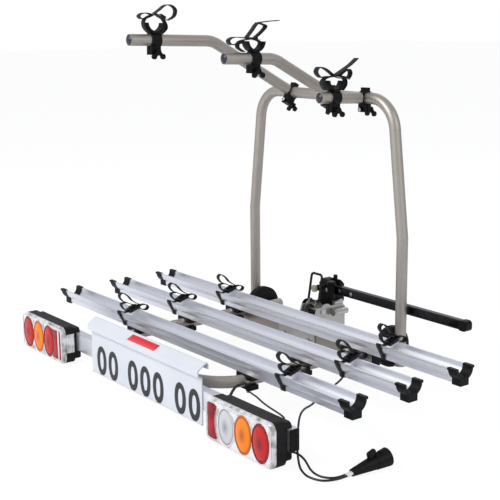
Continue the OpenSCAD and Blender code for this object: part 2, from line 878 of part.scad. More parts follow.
module lamp_housing_left() {
    color("#151517") stand() difference() {
        mirror([1, 0, 0]) lamp_housing();
        translate([-lamp_x + lamp_w / 2 - lamp_wall - over, window_y(), window_z - window_h / 2])
            cube([lamp_wall + 2 * over, window_w, window_h]);
    }
}

function window_y() = lamp_front + cover_t + part_gap;

module oval(grow) {
    polygon([
        for (k = [0 : lens_sides - 1])
            let (a = 360 * k / lens_sides)
                [(lens_w / 2 + grow) * cos(a), (lens_h / 2 + grow) * sin(a)]
    ]);
}

module ovals(grow) {
    for (i = [0 : 2])
        translate([lens_outer - i * lens_pitch, lamp_mid_z]) oval(grow);
}

module strip_shape(w, grow) {
    translate([bar_glass_x - bar_glass_w / 2 + w / 2, lamp_mid_z])
        soft_rect(w + 2 * grow, bar_glass_h + 2 * grow, bar_glass_soft);
}

module lamp_cover(w) {
    difference() {
        union() {
            span_y(lamp_front + cover_t / 2, cover_t / 2) lamp_outline(0);
            span_y(lamp_front, cover_t / 2) lamp_outline(cover_t / 4);
        }
        span_y(lamp_front - over, cover_t - lens_floor + over) ovals(lens_fit);
        span_y(lamp_front - over, cover_t - lens_floor + over) difference() {
            strip_shape(w, lens_fit);
            ovals(lens_floor);
        }
    }
}

module lamp_covers() {
    color([0.86, 0.88, 0.9, 0.5]) stand() {
        lamp_cover(bar_glass_w);
        mirror([1, 0, 0]) lamp_cover(left_strip_w);
        translate([-lamp_x + lamp_w / 2 - window_t - fit, window_y() + fit, window_z - window_h / 2 + fit])
            cube([window_t, window_w - 2 * fit, window_h - 2 * fit]);
    }
}

module lens(i) {
    span_y(lamp_front, cover_t - lens_floor) translate([lens_outer - i * lens_pitch, lamp_mid_z]) oval(0);
}

module strip_lens(w) {
    span_y(lamp_front, cover_t - lens_floor) difference() {
        strip_shape(w, 0);
        ovals(lens_floor + lens_fit);
    }
}

module lamp_reflectors() {
    color("#b3121a") stand() {
        strip_lens(bar_glass_w);
        mirror([1, 0, 0]) strip_lens(left_strip_w);
    }
}

module lamp_red_lenses() {
    color("#c4161c") stand() {
        both_sides() lens(0);
        mirror([1, 0, 0]) lens(2);
    }
}

module lamp_amber_lenses() {
    color("#f28c1a") stand() both_sides() lens(1);
}

module lamp_clear_lenses() {
    color([0.93, 0.94, 0.95, 0.7]) stand() lens(2);
}

module cheek_section() {
    difference() {
        union() {
            translate([cheek_y, 0]) polygon(cheek_shape);
            translate([cheek_knee_y, cheek_knee_z]) circle(cheek_knee_r);
        }
        translate([jaw_y, jaw_z]) circle(jaw_pin_r + fit);
    }
}

module coupling_frame() {
    color("#aea79c") stand() {
        difference() {
            span_y(flange_y, flange_t)
                translate([0, flange_bottom + flange_h / 2]) soft_rect(2 * flange_x, flange_h, bar_soft);
            both_sides()
                rod_y([beam_bolt_x, flange_y - over, beam_bolt_z], bolt_hole, flange_t + 2 * over);
        }
        both_sides() span_x(cheek_x, cheek_t) cheek_section();
    }
}

module ball_cup() {
    color("#8f8a82") stand() difference() {
        rod_z([0, ball_y, ball_z - cup_skirt], cup_r, cup_top - ball_z + cup_skirt);
        rod_z([0, ball_y, ball_z - cup_skirt - over], socket_r, cup_skirt + over);
        translate([0, ball_y, ball_z]) sphere(socket_r);
    }
}

module latch_body() {
    color("#17181a") stand() difference() {
        union() {
            span_x(-latch_x, 2 * latch_x) translate([latch_y, latch_z]) polygon(latch_shape);
            translate([-neck_x, neck_y, cup_top]) cube([2 * neck_x, neck_len, latch_z - cup_top + over]);
            rod_z([drum_x, latch_y + drum_in, latch_z], drum_r, latch_h);
        }
        translate([lever_x - lever_hub_r - part_gap, lever_y - part_gap, lever_z - lever_hub_r - part_gap])
            cube([latch_h, lever_t + 2 * part_gap, latch_h]);
        rod_z([plunger_x, plunger_y, plunger_low - plunger_travel - part_gap], plunger_r + fit, latch_h);
        rod_y([0, latch_y - over, knob_z], knob_shaft_r + fit, knob_in + over + part_gap);
        rod_y([lever_x, latch_y - drum_r, lever_z], lever_pin_r + fit, latch_depth + drum_r + over);
    }
}

module coupling_pins() {
    color("#b9bbbd") stand() {
        rod_x([-cheek_x - cheek_t, jaw_y, jaw_z], jaw_pin_r, 2 * (cheek_x + cheek_t));
        both_sides() rod_x([cheek_x + cheek_t, jaw_y, jaw_z], jaw_boss_r, stud_tip);
        rod_y([pin_x, pin_y, pin_z], pin_r, pin_len);
        nut_y([pin_x, pin_y - pin_head_len, pin_z], pin_head_r, pin_head_len);
        translate([cheek_x + cheek_t, pin_y, pin_z - pin_r])
            cube([pin_web_x, pin_len, 2 * pin_r]);
        rod_y([cheek_x + cheek_t / 2, upper_pin_y, cheek_top + upper_pin_r], upper_pin_r, upper_pin_len);
        translate([cheek_x, upper_pin_y, cheek_top]) cube([cheek_t, upper_pin_len, upper_pin_r]);
        rod_y([lever_x, latch_y - stud_tip, lever_z], lever_pin_r, latch_depth + stud_tip);
    }
}

module coupling_jaw() {
    color("#9b968e") stand() difference() {
        union() {
            translate([0, jaw_back, 0]) span_y(0, jaw_len) difference() {
                union() {
                    translate([0, jaw_top - jaw_r]) circle(jaw_r);
                    translate([-jaw_r, jaw_z - jaw_boss_r]) square([2 * jaw_r, jaw_top - jaw_r - jaw_z + jaw_boss_r]);
                }
                translate([0, jaw_top - jaw_r]) circle(jaw_r - jaw_wall);
                translate([-jaw_r + jaw_wall, jaw_z - jaw_boss_r - over])
                    square([2 * (jaw_r - jaw_wall), jaw_top - jaw_r - jaw_z + jaw_boss_r + over]);
                translate([-jaw_r - over, jaw_z - jaw_boss_r - jaw_r])
                    square([2 * (jaw_r + over), jaw_r]);
            }
            both_sides() translate([claw_x, claw_y, claw_bottom])
                cube([jaw_r - claw_x, claw_t, jaw_z - claw_bottom]);
            translate([-jaw_r, claw_y, claw_bottom]) cube([2 * jaw_r, claw_t, jaw_leg_drop / 2]);
            translate([-claw_x, claw_y, claw_bottom]) cube([2 * claw_x, claw_t + claw_lip, claw_lip_h]);
            both_sides() translate([lug_x, bail_y - lug_w / 2, bail_z - lug_h + lug_w / 2])
                cube([lug_t, lug_w, lug_h]);
        }
        rod_x([-jaw_r - over, jaw_y, jaw_z], jaw_pin_r + fit, 2 * (jaw_r + over));
        rod_x([-jaw_r, bail_y, bail_z], bail_r + fit, 2 * jaw_r);
        rod_z([0, ball_y, ball_z - ball_d], socket_r + part_gap, ball_d);
    }
}

module coupling_lever() {
    color("#1d1e20") stand() difference() {
        union() {
            span_x(lever_x, lever_length - grip_len / 4)
                translate([lever_y + lever_t / 2, lever_z]) soft_rect(lever_t, lever_h, lever_soft);
            rod_y([lever_x, lever_y, lever_z], lever_hub_r, lever_t);
        }
        rod_y([lever_x, lever_y - over, lever_z], lever_pin_r + fit, lever_t + 2 * over);
    }
}

module lever_end_grip() {
    end = lever_x + lever_length;
    color("#111112") stand() difference() {
        span_y(lever_y - grip_skin, lever_t + 2 * grip_skin)
            translate([end - grip_len / 2, lever_z]) soft_rect(grip_len, lever_h + 2 * grip_skin, grip_soft);
        translate([end - grip_len - over, lever_y - fit, lever_z - lever_h / 2 - fit])
            cube([grip_len * 3 / 4 + over + fit, lever_t + 2 * fit, lever_h + 2 * fit]);
    }
}

module bail() {
    tall = norm([bail_rise, bail_lean]);
    p = [[-bail_x, 0], [-bail_x, tall], [bail_x, tall], [bail_x, 0]];
    color("#151516") stand() translate([0, bail_y, bail_z])
        rotate([90 - atan(bail_lean / bail_rise), 0, 0]) {
            run(p, [0, bail_bend, bail_bend, 0], bail_r);
            rod_x([-bail_x, 0, 0], bail_r, 2 * bail_x);
            for (x = [-bail_x, bail_x]) translate([x, 0, 0]) sphere(bail_r + seam_r);
        }
}

module plunger() {
    color("#0f0f10") stand() rod_z([plunger_x, plunger_y, plunger_low], plunger_r, plunger_top - plunger_low);
}

module adjuster_knob() {
    color("#8d8468") stand() difference() {
        rod_y([0, knob_y, knob_z], knob_disc_r, knob_disc_t);
        rod_y([0, knob_y + knob_disc_t / 2, knob_z], knob_shaft_r + fit, knob_disc_t);
    }
}

module adjuster_ball() {
    shaft_y = knob_y + knob_disc_t / 2;
    color("#141416") stand() {
        rod_y([0, shaft_y, knob_z], knob_shaft_r, latch_y - shaft_y + knob_in);
        translate([0, knob_ball_y, knob_z]) sphere(knob_ball_r);
    }
}

module hoop_path_run(r, extra) {
    low = frame_z - hoop_foot;
    lean_x = hoop_x - hoop_lean * (bar_axis - frame_z - hoop_kink) / hoop_lean_rise;
    p = [
        [-hoop_x, low], [-hoop_x, frame_z + hoop_kink], [-lean_x, bar_axis],
        [lean_x, bar_axis], [hoop_x, frame_z + hoop_kink], [hoop_x, low]
    ];
    translate([0, bar_y, 0]) rotate([90, 0, 0])
        run(longer(p, extra), [0, 0, hoop_bend, hoop_bend, 0, 0], r);
}

module hoop() {
    color("#9d968e") stand() difference() {
        hoop_path_run(tube_r, 0);
        hoop_path_run(bore_r, over);
        both_sides() rod_x([hoop_x - tube_d, pivot_y, frame_z], pivot_bolt_r + fit, 2 * tube_d);
    }
}

// Side view of an arm, from its tip to the crossbar
function arm_points(i) = i == 2
    ? [[bar_y - arm_3_reach, bar_axis + arm_tip_z[2]], [bar_y, bar_axis]]
    : [
        [bar_y - (i == 0 ? arm_1_reach : arm_2_reach), bar_axis + arm_tip_z[i]],
        [bar_y - arm_knee_y[i], bar_axis + arm_knee_z[i]],
        [bar_y, bar_axis]
    ];
function arm_cut(i) = let (p = arm_points(i), n = len(p) - 1)
    [for (k = [0 : n]) k < n ? p[k] : p[n] - heading(p, n - 1) * arm_start];
function arm_slope(i) = let (p = arm_points(i), n = len(p) - 1) atan2(heading(p, n - 1)[1], heading(p, n - 1)[0]);
function tip_slope(i) = atan2(heading(arm_points(i), 0)[1], heading(arm_points(i), 0)[0]);

module arm(i) {
    color("#9d968e") stand() translate([arm_x[i], 0, 0]) rotate([90, 0, 90])
        bent_tube(arm_cut(i), [0, arm_bend, 0]);
}

module arm_1() {
    arm(0);
}

module arm_2() {
    arm(1);
}

module arm_3() {
    arm(2);
}

module arm_plug(i) {
    p = arm_points(i);
    color("#20242c") stand() translate([arm_x[i], p[0][0], p[0][1]])
        rotate([tip_slope(i), 0, 0]) {
            rod_y([0, 0, 0], bore_r - fit, plug_in);
            intersection() {
                rod_y([0, -plug_lip, 0], tube_r, plug_lip);
                translate([0, tube_r, 0]) sphere(tube_r + plug_lip);
            }
        }
}

module arm_plug_1() {
    arm_plug(0);
}

module arm_plug_2() {
    arm_plug(1);
}

module arm_plug_3() {
    arm_plug(2);
}

module pinch_section(r, half) {
    difference() {
        union() {
            circle(r);
            translate([-half, -lug_low]) square([2 * half, lug_low]);
        }
        circle(tube_r + fit);
        translate([-slit / 2, -lug_low - over]) square([slit, lug_low]);
    }
}

// A wing screw along Z: its hub starts at zero, and its shaft points down
module wing_screw(shaft) {
    rotate_extrude() {
        translate([0, -shaft]) square([screw_shaft_r, shaft + over]);
        square([wing_hub_r, wing_hub_len + wing_plate / 2]);
    }
    translate([0, 0, wing_hub_len]) linear_extrude(height = wing_plate) {
        circle(wing_hub_r + part_gap);
        for (a = [-40, -140]) rotate(a) {
            translate([wing_reach, 0]) circle(wing_lobe_r);
            translate([0, -wing_neck_r]) square([wing_reach, 2 * wing_neck_r]);
        }
    }
}

module arm_clamp(i) {
    color("#19191b") stand() translate([arm_x[i], bar_y, bar_axis]) rotate([arm_slope(i), 0, 0]) {
        difference() {
            union() {
                span_x(-clamp_w / 2, clamp_w) pinch_section(clamp_r, lug_half);
                translate([-clamp_block_x / 2, -clamp_block_y / 2, tube_r + fit])
                    cube([clamp_block_x, clamp_block_y, clamp_block_top - tube_r - fit]);
                rod_y([0, -arm_start - spigot_len, 0], bore_r - fit, spigot_len + slit);
            }
            rod_x([-clamp_w, 0, 0], tube_r + fit, 2 * clamp_w);
            rod_y([0, -lug_half - over, wing_z], screw_shaft_r + fit, 2 * (lug_half + over));
        }
        difference() {
            nut_y([0, -lug_half - clamp_nut_h - fit, wing_z], clamp_nut_r, clamp_nut_h);
            rod_y([0, -lug_half - clamp_nut_h - over, wing_z], screw_shaft_r + fit, clamp_nut_h + 2 * over);
        }
    }
}

module arm_clamp_1() {
    arm_clamp(0);
}

module arm_clamp_2() {
    arm_clamp(1);
}

module arm_clamp_3() {
    arm_clamp(2);
}

module arm_wing(i) {
    color("#141415") stand() translate([arm_x[i], bar_y, bar_axis]) rotate([arm_slope(i), 0, 0])
        translate([0, lug_half + part_gap, wing_z]) rotate([-90, 0, 0]) rotate([0, 0, 180])
            wing_screw(2 * lug_half + clamp_nut_h + part_gap + over);
}

module arm_wing_1() {
    arm_wing(0);
}

module arm_wing_2() {
    arm_wing(1);
}

module arm_wing_3() {
    arm_wing(2);
}

// Places a drawing on an arm, with its Y along the arm
module on_arm(i) {
    p = arm_points(i);
    from_tip = (i == 0 ? arm_1_reach : i == 1 ? arm_2_reach : arm_3_reach) - holder_from_bar[i];
    at = p[0] + heading(p, 0) * from_tip;
    stand() translate([arm_x[i], at[0], at[1]]) rotate([tip_slope(i), 0, 0]) children();
}

module bike_holder(i) {
    color("#17171a") on_arm(i) {
        difference() {
            union() {
                translate([0, holder_len / 2, 0]) rotate([90, 0, 0]) linear_extrude(height = holder_len)
                    pinch_section(holder_r, holder_half);
                span_x(-cradle_w / 2, cradle_w) difference() {
                    translate([0, cradle_z]) circle(cradle_r);
                    translate([0, cradle_z]) circle(cradle_r - cradle_wall);
                    translate([-cradle_r - over, cradle_top]) square([2 * (cradle_r + over), 2 * cradle_r]);
                    circle(tube_r + fit);
                }
            }
            rod_x([-holder_half - over, 0, wing_z], screw_shaft_r + fit, 2 * (holder_half + over));
        }
        difference() {
            nut_x([-holder_half - clamp_nut_h - fit, 0, wing_z], clamp_nut_r, clamp_nut_h);
            rod_x([-holder_half - clamp_nut_h - over, 0, wing_z], screw_shaft_r + fit, clamp_nut_h + 2 * over);
        }
    }
}

module bike_holder_1() {
    bike_holder(0);
}

module bike_holder_2() {
    bike_holder(1);
}

module bike_holder_3() {
    bike_holder(2);
}

module holder_wing(i) {
    color("#141415") on_arm(i) translate([holder_half + part_gap, 0, wing_z])
        rotate([90, 0, 90]) wing_screw(2 * holder_half + clamp_nut_h + part_gap + over);
}

module holder_wing_1() {
    holder_wing(0);
}

module holder_wing_2() {
    holder_wing(1);
}

module holder_wing_3() {
    holder_wing(2);
}

module holder_strap(i) {
    color("#161617") on_arm(i) {
        band(holder_path, 3, strap_t, holder_strap_w);
        if (i > 0) band(tail_path, 4, strap_t, holder_strap_w);
        difference() {
            translate([-small_buckle_x, small_buckle_y - small_buckle_len / 2, small_buckle_z - small_buckle_h / 2])
                cube([2 * small_buckle_x, small_buckle_len, small_buckle_h]);
            translate([-holder_strap_w / 2 - part_gap, small_buckle_y - small_buckle_len,
                small_buckle_z - small_buckle_slot / 2])
                cube([holder_strap_w + 2 * part_gap, 2 * small_buckle_len, small_buckle_slot]);
        }
    }
}

module holder_strap_1() {
    holder_strap(0);
}

module holder_strap_2() {
    holder_strap(1);
}

module holder_strap_3() {
    holder_strap(2);
}

module left_lamp_lead() {
    color("#101011") stand() lead(left_lead_path, 2, lead_d, 8);
}

module right_lamp_lead() {
    color("#101011") stand() lead(right_lead_path, 2, lead_d, 8);
}

module jumper_leads() {
    color("#101011") stand() {
        lead(lamp_feed_path, 2, lamp_feed_d, 8);
        lead(bar_feed_path, 2, bar_feed_d, 8);
    }
}

module plug() {
    dir = plug_nose - plug_end;
    turn_z = atan2(dir[1], dir[0]);
    tilt = acos(dir[2] / plug_len);
    color("#131314") stand() translate(plug_end) rotate([0, tilt, turn_z]) {
        cylinder(r1 = boot_r, r2 = boot_top_r, h = boot_len);
        translate([0, 0, boot_len]) cylinder(r1 = boot_top_r, r2 = collar_r, h = grip_len_2);
        translate([0, 0, boot_len + grip_len_2])
            cylinder(r1 = body_low_r, r2 = body_r, h = plug_len - boot_len - grip_len_2);
    }
}

base_frame();
hoop_pivot_plates();
cross_beam();
bar_end_caps();
beam_plate();
frame_bolts();
rail_1();
rail_2();
rail_3();
rail_end_caps();
rail_saddles();
rail_bolts();
wheel_straps();
wheel_buckles();
light_bar();
number_plate_holder();
lamp_housing_left();
lamp_housing_right();
lamp_reflectors();
lamp_red_lenses();
lamp_amber_lenses();
lamp_clear_lenses();
lamp_covers();
coupling_frame();
ball_cup();
latch_body();
coupling_pins();
coupling_jaw();
coupling_lever();
lever_end_grip();
bail();
plunger();
adjuster_knob();
adjuster_ball();
hoop();
arm_1();
arm_2();
arm_3();
arm_plug_1();
arm_plug_2();
arm_plug_3();
arm_clamp_1();
arm_clamp_2();
arm_clamp_3();
arm_wing_1();
arm_wing_2();
arm_wing_3();
bike_holder_1();
bike_holder_2();
bike_holder_3();
holder_wing_1();
holder_wing_2();
holder_wing_3();
holder_strap_1();
holder_strap_2();
holder_strap_3();
left_lamp_lead();
right_lamp_lead();
jumper_leads();
plug();
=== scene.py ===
import math

import bpy
from mathutils import Matrix, Vector


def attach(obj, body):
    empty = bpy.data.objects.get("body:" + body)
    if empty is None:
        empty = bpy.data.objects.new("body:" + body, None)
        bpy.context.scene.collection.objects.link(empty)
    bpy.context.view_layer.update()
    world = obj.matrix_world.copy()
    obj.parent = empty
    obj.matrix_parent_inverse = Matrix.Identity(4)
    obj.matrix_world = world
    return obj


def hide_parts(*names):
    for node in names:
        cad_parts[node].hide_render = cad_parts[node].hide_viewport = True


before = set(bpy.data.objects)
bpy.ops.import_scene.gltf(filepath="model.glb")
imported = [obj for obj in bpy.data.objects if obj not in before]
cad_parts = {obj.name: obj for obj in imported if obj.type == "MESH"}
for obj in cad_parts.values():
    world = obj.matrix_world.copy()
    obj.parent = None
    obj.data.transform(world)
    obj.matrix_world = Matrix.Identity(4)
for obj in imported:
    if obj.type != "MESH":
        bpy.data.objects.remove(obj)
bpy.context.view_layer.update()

# The photographer's camera: a short telephoto lens as high as the arms, at the
# rack's right rear corner, with the horizon half a degree off level.
bpy.ops.object.select_all(action="DESELECT")
camera_place = (2.27856, -1.70377, 0.95366)
sight_turn, sight_height, sight_roll = (math.radians(v) for v in (52.61, 12.24, -0.56))
back = Vector((math.sin(sight_turn) * math.cos(sight_height),
               -math.cos(sight_turn) * math.cos(sight_height), math.sin(sight_height)))
right = Vector((math.cos(sight_turn), math.sin(sight_turn), 0))
up = back.cross(right)
rolled = right * math.cos(sight_roll) + up * math.sin(sight_roll)
upright = -right * math.sin(sight_roll) + up * math.cos(sight_roll)
bpy.ops.object.camera_add(location=camera_place)
camera = bpy.context.object
turned = Matrix((rolled, upright, back)).transposed().to_4x4()
turned.translation = camera_place
camera.matrix_world = turned
camera.data.lens = 78.76
camera.data.sensor_width = 36
camera.data.clip_end = 60
bpy.context.scene.camera = camera
bpy.context.scene.view_settings.view_transform = "Standard"

# Studio light: one big soft box over the camera's left shoulder, a weaker one
# on the right, a wide one behind, and an even pale room around them.
rack_middle = Vector((0, 0, 0.3))
for where, size, power in (((-0.6, -3.4, 3.0), 2.0, 125), ((3.8, 0.6, 2.2), 2.0, 30),
                           ((-1.6, 3.2, 2.8), 3.0, 20)):
    bpy.ops.object.light_add(type="AREA", location=where)
    lamp = bpy.context.object
    lamp.data.size = size
    lamp.data.energy = power
    lamp.rotation_euler = (rack_middle - lamp.location).to_track_quat("-Z", "Y").to_euler()


def linear(code):
    """An sRGB hex colour as the linear values that a shader takes."""
    parts = [int(code[k:k + 2], 16) / 255 for k in (1, 3, 5)]
    return tuple(c / 12.92 if c <= 0.04045 else ((c + 0.055) / 1.055) ** 2.4 for c in parts) + (1,)


def add(tree, kind, settings):
    """Adds a node. A key is a socket, by name or number, or a property."""
    made = tree.nodes.new("ShaderNode" + kind)
    for key, value in settings.items():
        if isinstance(key, str) and key not in made.inputs:
            setattr(made, key, value)
        elif isinstance(value, bpy.types.NodeSocket):
            tree.links.new(value, made.inputs[key])
        else:
            made.inputs[key].default_value = value
    return made


room = bpy.data.worlds.new("Pale studio room")
room.use_nodes = True
room.node_tree.nodes.clear()
ray = add(room.node_tree, "LightPath", {})
seen = add(room.node_tree, "Math", {"operation": "MAXIMUM", 0: ray.outputs["Is Camera Ray"],
                                    1: ray.outputs["Is Transmission Ray"]})
even = add(room.node_tree, "Background", {"Color": linear("#f2f5fb"), "Strength": 0.56})
white = add(room.node_tree, "Background", {"Color": (1, 1, 1, 1), "Strength": 1.0})
shown = add(room.node_tree, "MixShader",
            {0: seen.outputs[0], 1: even.outputs[0], 2: white.outputs[0]})
add(room.node_tree, "OutputWorld", {"Surface": shown.outputs[0]})
bpy.context.scene.world = room

# Studio floor: matt white paper that the rack stands on, bright enough to
# vanish into the background and to keep only the soft shadow.
paper_drop = 0.0004  # m, just under the leads and the plug that lie on it
bpy.ops.mesh.primitive_plane_add(size=50, location=(0, 0, -paper_drop))
paper = bpy.context.object
paper.name = "studio_floor"
matt_paper = bpy.data.materials.new("Matt white studio paper")
matt_paper.use_nodes = True
matt_paper.node_tree.nodes.clear()
ray = add(matt_paper.node_tree, "LightPath", {})
lit = add(matt_paper.node_tree, "BsdfDiffuse", {"Color": linear("#f3f3f4")})
glow = add(matt_paper.node_tree, "Emission", {"Color": (1, 1, 1, 1), "Strength": 1.06})
glow_share = 0.86  # what is left is the paper that takes the shadow
seen = add(matt_paper.node_tree, "Math",
           {"operation": "MULTIPLY", 0: ray.outputs["Is Camera Ray"], 1: glow_share})
paper_mix = add(matt_paper.node_tree, "MixShader",
                {0: seen.outputs[0], 1: lit.outputs[0], 2: glow.outputs[0]})
add(matt_paper.node_tree, "OutputMaterial", {"Surface": paper_mix.outputs[0]})
paper.data.materials.append(matt_paper)


# Frame, hoop and arms: one size of round aluminium tube, bent cold, blasted
# and anodised champagne. The eye gets a soft grey beige sheen with dark flanks.
def finish(name):
    """A new material, its node tree and the place of a point on the object."""
    made = bpy.data.materials.new(name)
    made.use_nodes = True
    made.node_tree.nodes.clear()
    place = add(made.node_tree, "TexCoord", {}).outputs["Object"]
    return made, made.node_tree, place


def blend(tree, pattern, dark, light):
    """The colour of a surface, which a pattern moves between two hex colours."""
    colours = {"data_type": "RGBA", 0: pattern, 6: linear(dark), 7: linear(light)}
    return add(tree, "Mix", colours).outputs[2]


def emboss(tree, pattern, depth, strength):
    """The fine relief of a surface, from a pattern and its depth in metres."""
    relief = {"Height": pattern, "Distance": depth, "Strength": strength}
    return add(tree, "Bump", relief).outputs[0]


def coat(tree, settings):
    """The surface itself, with which each finish ends."""
    shader = add(tree, "BsdfPrincipled", settings)
    add(tree, "OutputMaterial", {"Surface": shader.outputs[0]})


def dress(material, *names):
    """Gives CAD nodes their material."""
    for name in names:
        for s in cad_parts[name].material_slots:
            s.material = material


tube_finish, tree, place = finish("Aluminium tube, anodised champagne")
cloud = add(tree, "TexNoise", {"Vector": place, "Scale": 14.0, "Detail": 3.0})
blast = add(tree, "TexNoise", {"Vector": place, "Scale": 1600.0, "Detail": 2.0})  # 0.6 mm grit
tone = blend(tree, cloud.outputs["Fac"], "#aca59d", "#b9b2aa")
dull = add(tree, "MapRange", {"Value": cloud.outputs["Fac"], "To Min": 0.44, "To Max": 0.52})
bump = emboss(tree, blast.outputs["Fac"], 0.00004, 0.35)
coat(tree, {"Base Color": tone, "Metallic": 0.88, "Roughness": dull.outputs[0], "Normal": bump})
dress(tube_finish, "base_frame", "hoop", "arm_1", "arm_2", "arm_3")

# Cross beam: rectangular aluminium tube bolted across the legs, in the same
# anodised champagne but drawn flat, so that it shows fine lines along it.
beam_finish, tree, place = finish("Aluminium box section, anodised champagne")
along = add(tree, "Mapping", {"Vector": place, "Scale": (6.0, 700.0, 700.0)})
# Die lines 1.4 mm apart
lines = add(tree, "TexNoise", {"Vector": along.outputs[0], "Scale": 1.0, "Detail": 3.0})
tone = blend(tree, lines.outputs["Fac"], "#a39a90", "#b5aca2")
bump = emboss(tree, lines.outputs["Fac"], 0.00004, 0.3)
coat(tree, {"Base Color": tone, "Metallic": 0.75, "Roughness": 0.42, "Normal": bump})
dress(beam_finish, "cross_beam")

# Wheel rails and light bar: half-round channels and a flat tube of aluminium,
# extruded and clear anodised, a bright silver with long soft streaks along them.
rail_finish, tree, place = finish("Aluminium channel, extruded and clear anodised")
along = add(tree, "Mapping", {"Vector": place, "Scale": (4.0, 600.0, 600.0)})
# Die lines 1.6 mm apart
lines = add(tree, "TexNoise", {"Vector": along.outputs[0], "Scale": 1.0, "Detail": 4.0})
tone = blend(tree, lines.outputs["Fac"], "#e4e6ee", "#f4f5fa")
dull = add(tree, "MapRange", {"Value": lines.outputs["Fac"], "To Min": 0.28, "To Max": 0.42})
bump = emboss(tree, lines.outputs["Fac"], 0.00003, 0.3)
coat(tree, {"Base Color": tone, "Metallic": 0.86, "Roughness": dull.outputs[0], "Normal": bump})
dress(rail_finish, "rail_1", "rail_2", "rail_3", "light_bar")

# End caps, saddles, pivot plates, clamps, holders, wing screws and plug:
# polyamide moulded black, with the fine sand texture of a spark-eroded mould,
# duller where it is scuffed.
moulded_black, tree, place = finish("Polyamide, moulded black")
sand = add(tree, "TexNoise", {"Vector": place, "Scale": 1250.0, "Detail": 2.0})  # 0.8 mm grain
scuff = add(tree, "TexNoise", {"Vector": place, "Scale": 45.0, "Detail": 4.0})
tone = blend(tree, scuff.outputs["Fac"], "#060607", "#0e0e0f")
dull = add(tree, "MapRange", {"Value": scuff.outputs["Fac"], "To Min": 0.36, "To Max": 0.56})
bump = emboss(tree, sand.outputs["Fac"], 0.00008, 0.4)
coat(tree, {"Base Color": tone, "Roughness": dull.outputs[0], "IOR": 1.53,
            "Specular IOR Level": 0.16, "Normal": bump})
dress(moulded_black, "hoop_pivot_plates", "bar_end_caps", "rail_end_caps", "rail_saddles",
      "latch_body", "plunger", "lever_end_grip", "adjuster_ball", "plug")
for number in (1, 2, 3):
    dress(moulded_black, "arm_clamp_%d" % number, "arm_wing_%d" % number,
          "bike_holder_%d" % number, "holder_wing_%d" % number)

# Lamp boxes: moulded of the same polyamide, each screwed to an end of the light
# bar, and weathered to a dark brown grey.
lamp_box, tree, place = finish("Polyamide, moulded brown black")
sand = add(tree, "TexNoise", {"Vector": place, "Scale": 1250.0, "Detail": 2.0})
scuff = add(tree, "TexNoise", {"Vector": place, "Scale": 30.0, "Detail": 4.0})
tone = blend(tree, scuff.outputs["Fac"], "#0b0a0a", "#181515")
bump = emboss(tree, sand.outputs["Fac"], 0.00008, 0.4)
coat(tree, {"Base Color": tone, "Roughness": 0.45, "IOR": 1.53,
            "Specular IOR Level": 0.2, "Normal": bump})
dress(lamp_box, "lamp_housing_left", "lamp_housing_right")

# Coupling frame and beam plate: folded steel plate, zinc plated and sealed,
# which gives a warm light grey metal with a soft sheen and faint clouds.
plated_plate, tree, place = finish("Steel plate, zinc plated and sealed")
peel = add(tree, "TexNoise", {"Vector": place, "Scale": 500.0, "Detail": 2.0})  # 2 mm apart
cloud = add(tree, "TexNoise", {"Vector": place, "Scale": 20.0, "Detail": 3.0})
tone = blend(tree, cloud.outputs["Fac"], "#a9a6a4", "#d3d1cf")
bump = emboss(tree, peel.outputs["Fac"], 0.00006, 0.5)
coat(tree, {"Base Color": tone, "Roughness": 0.3, "Metallic": 0.85, "Normal": bump})
dress(plated_plate, "coupling_frame", "beam_plate")

# Ball cup and jaw: cast iron, shot blasted and coated a greyer beige, which
# leaves a rough and mottled skin.
cast_coat, tree, place = finish("Cast iron, blasted and coated")
skin = add(tree, "TexNoise", {"Vector": place, "Scale": 320.0, "Detail": 5.0})  # 3 mm casting skin
pits = add(tree, "TexVoronoi", {"Vector": place, "Scale": 420.0})
tone = blend(tree, skin.outputs["Fac"], "#6f6b68", "#a8a4a0")
rough = add(tree, "Math",
            {"operation": "MULTIPLY", 0: skin.outputs["Fac"], 1: pits.outputs["Distance"]})
bump = emboss(tree, rough.outputs[0], 0.0003, 0.5)
coat(tree, {"Base Color": tone, "Roughness": 0.38, "Metallic": 0.8, "Normal": bump})
dress(cast_coat, "ball_cup", "coupling_jaw")

# Bolts, nuts and pins: turned steel with bright zinc plating, slightly
# mottled and a little yellow.
zinc, tree, place = finish("Steel, bright zinc plated")
mottle = add(tree, "TexNoise", {"Vector": place, "Scale": 260.0, "Detail": 3.0})  # 4 mm spangle
tone = blend(tree, mottle.outputs["Fac"], "#b6b7b8", "#d6d5d0")
dull = add(tree, "MapRange", {"Value": mottle.outputs["Fac"], "To Min": 0.22, "To Max": 0.36})
coat(tree, {"Base Color": tone, "Metallic": 1.0, "Roughness": dull.outputs[0]})
dress(zinc, "frame_bolts", "rail_bolts", "coupling_pins")

# Clamping lever and wire bail: steel with black stove enamel, glossier than
# the plastics, with a slight flow texture.
enamel, tree, place = finish("Steel, black stove enamel")
flow = add(tree, "TexNoise", {"Vector": place, "Scale": 140.0, "Detail": 2.0})  # 7 mm flow marks
tone = blend(tree, flow.outputs["Fac"], "#040405", "#08080a")
bump = emboss(tree, flow.outputs["Fac"], 0.00006, 0.4)
coat(tree, {"Base Color": tone, "Roughness": 0.2, "IOR": 1.55, "Specular IOR Level": 0.32,
            "Normal": bump})
dress(enamel, "coupling_lever", "bail")

# Adjuster knob: a disc of beige acetal, turned on a lathe and fixed on the
# adjuster's shaft, with a slight sheen.
knob_finish, tree, place = finish("Acetal, turned beige")
marks = add(tree, "TexNoise", {"Vector": place, "Scale": 600.0, "Detail": 2.0})
tone = blend(tree, marks.outputs["Fac"], "#8f866c", "#a39a80")
coat(tree, {"Base Color": tone, "Roughness": 0.4, "IOR": 1.48})
dress(knob_finish, "adjuster_knob")

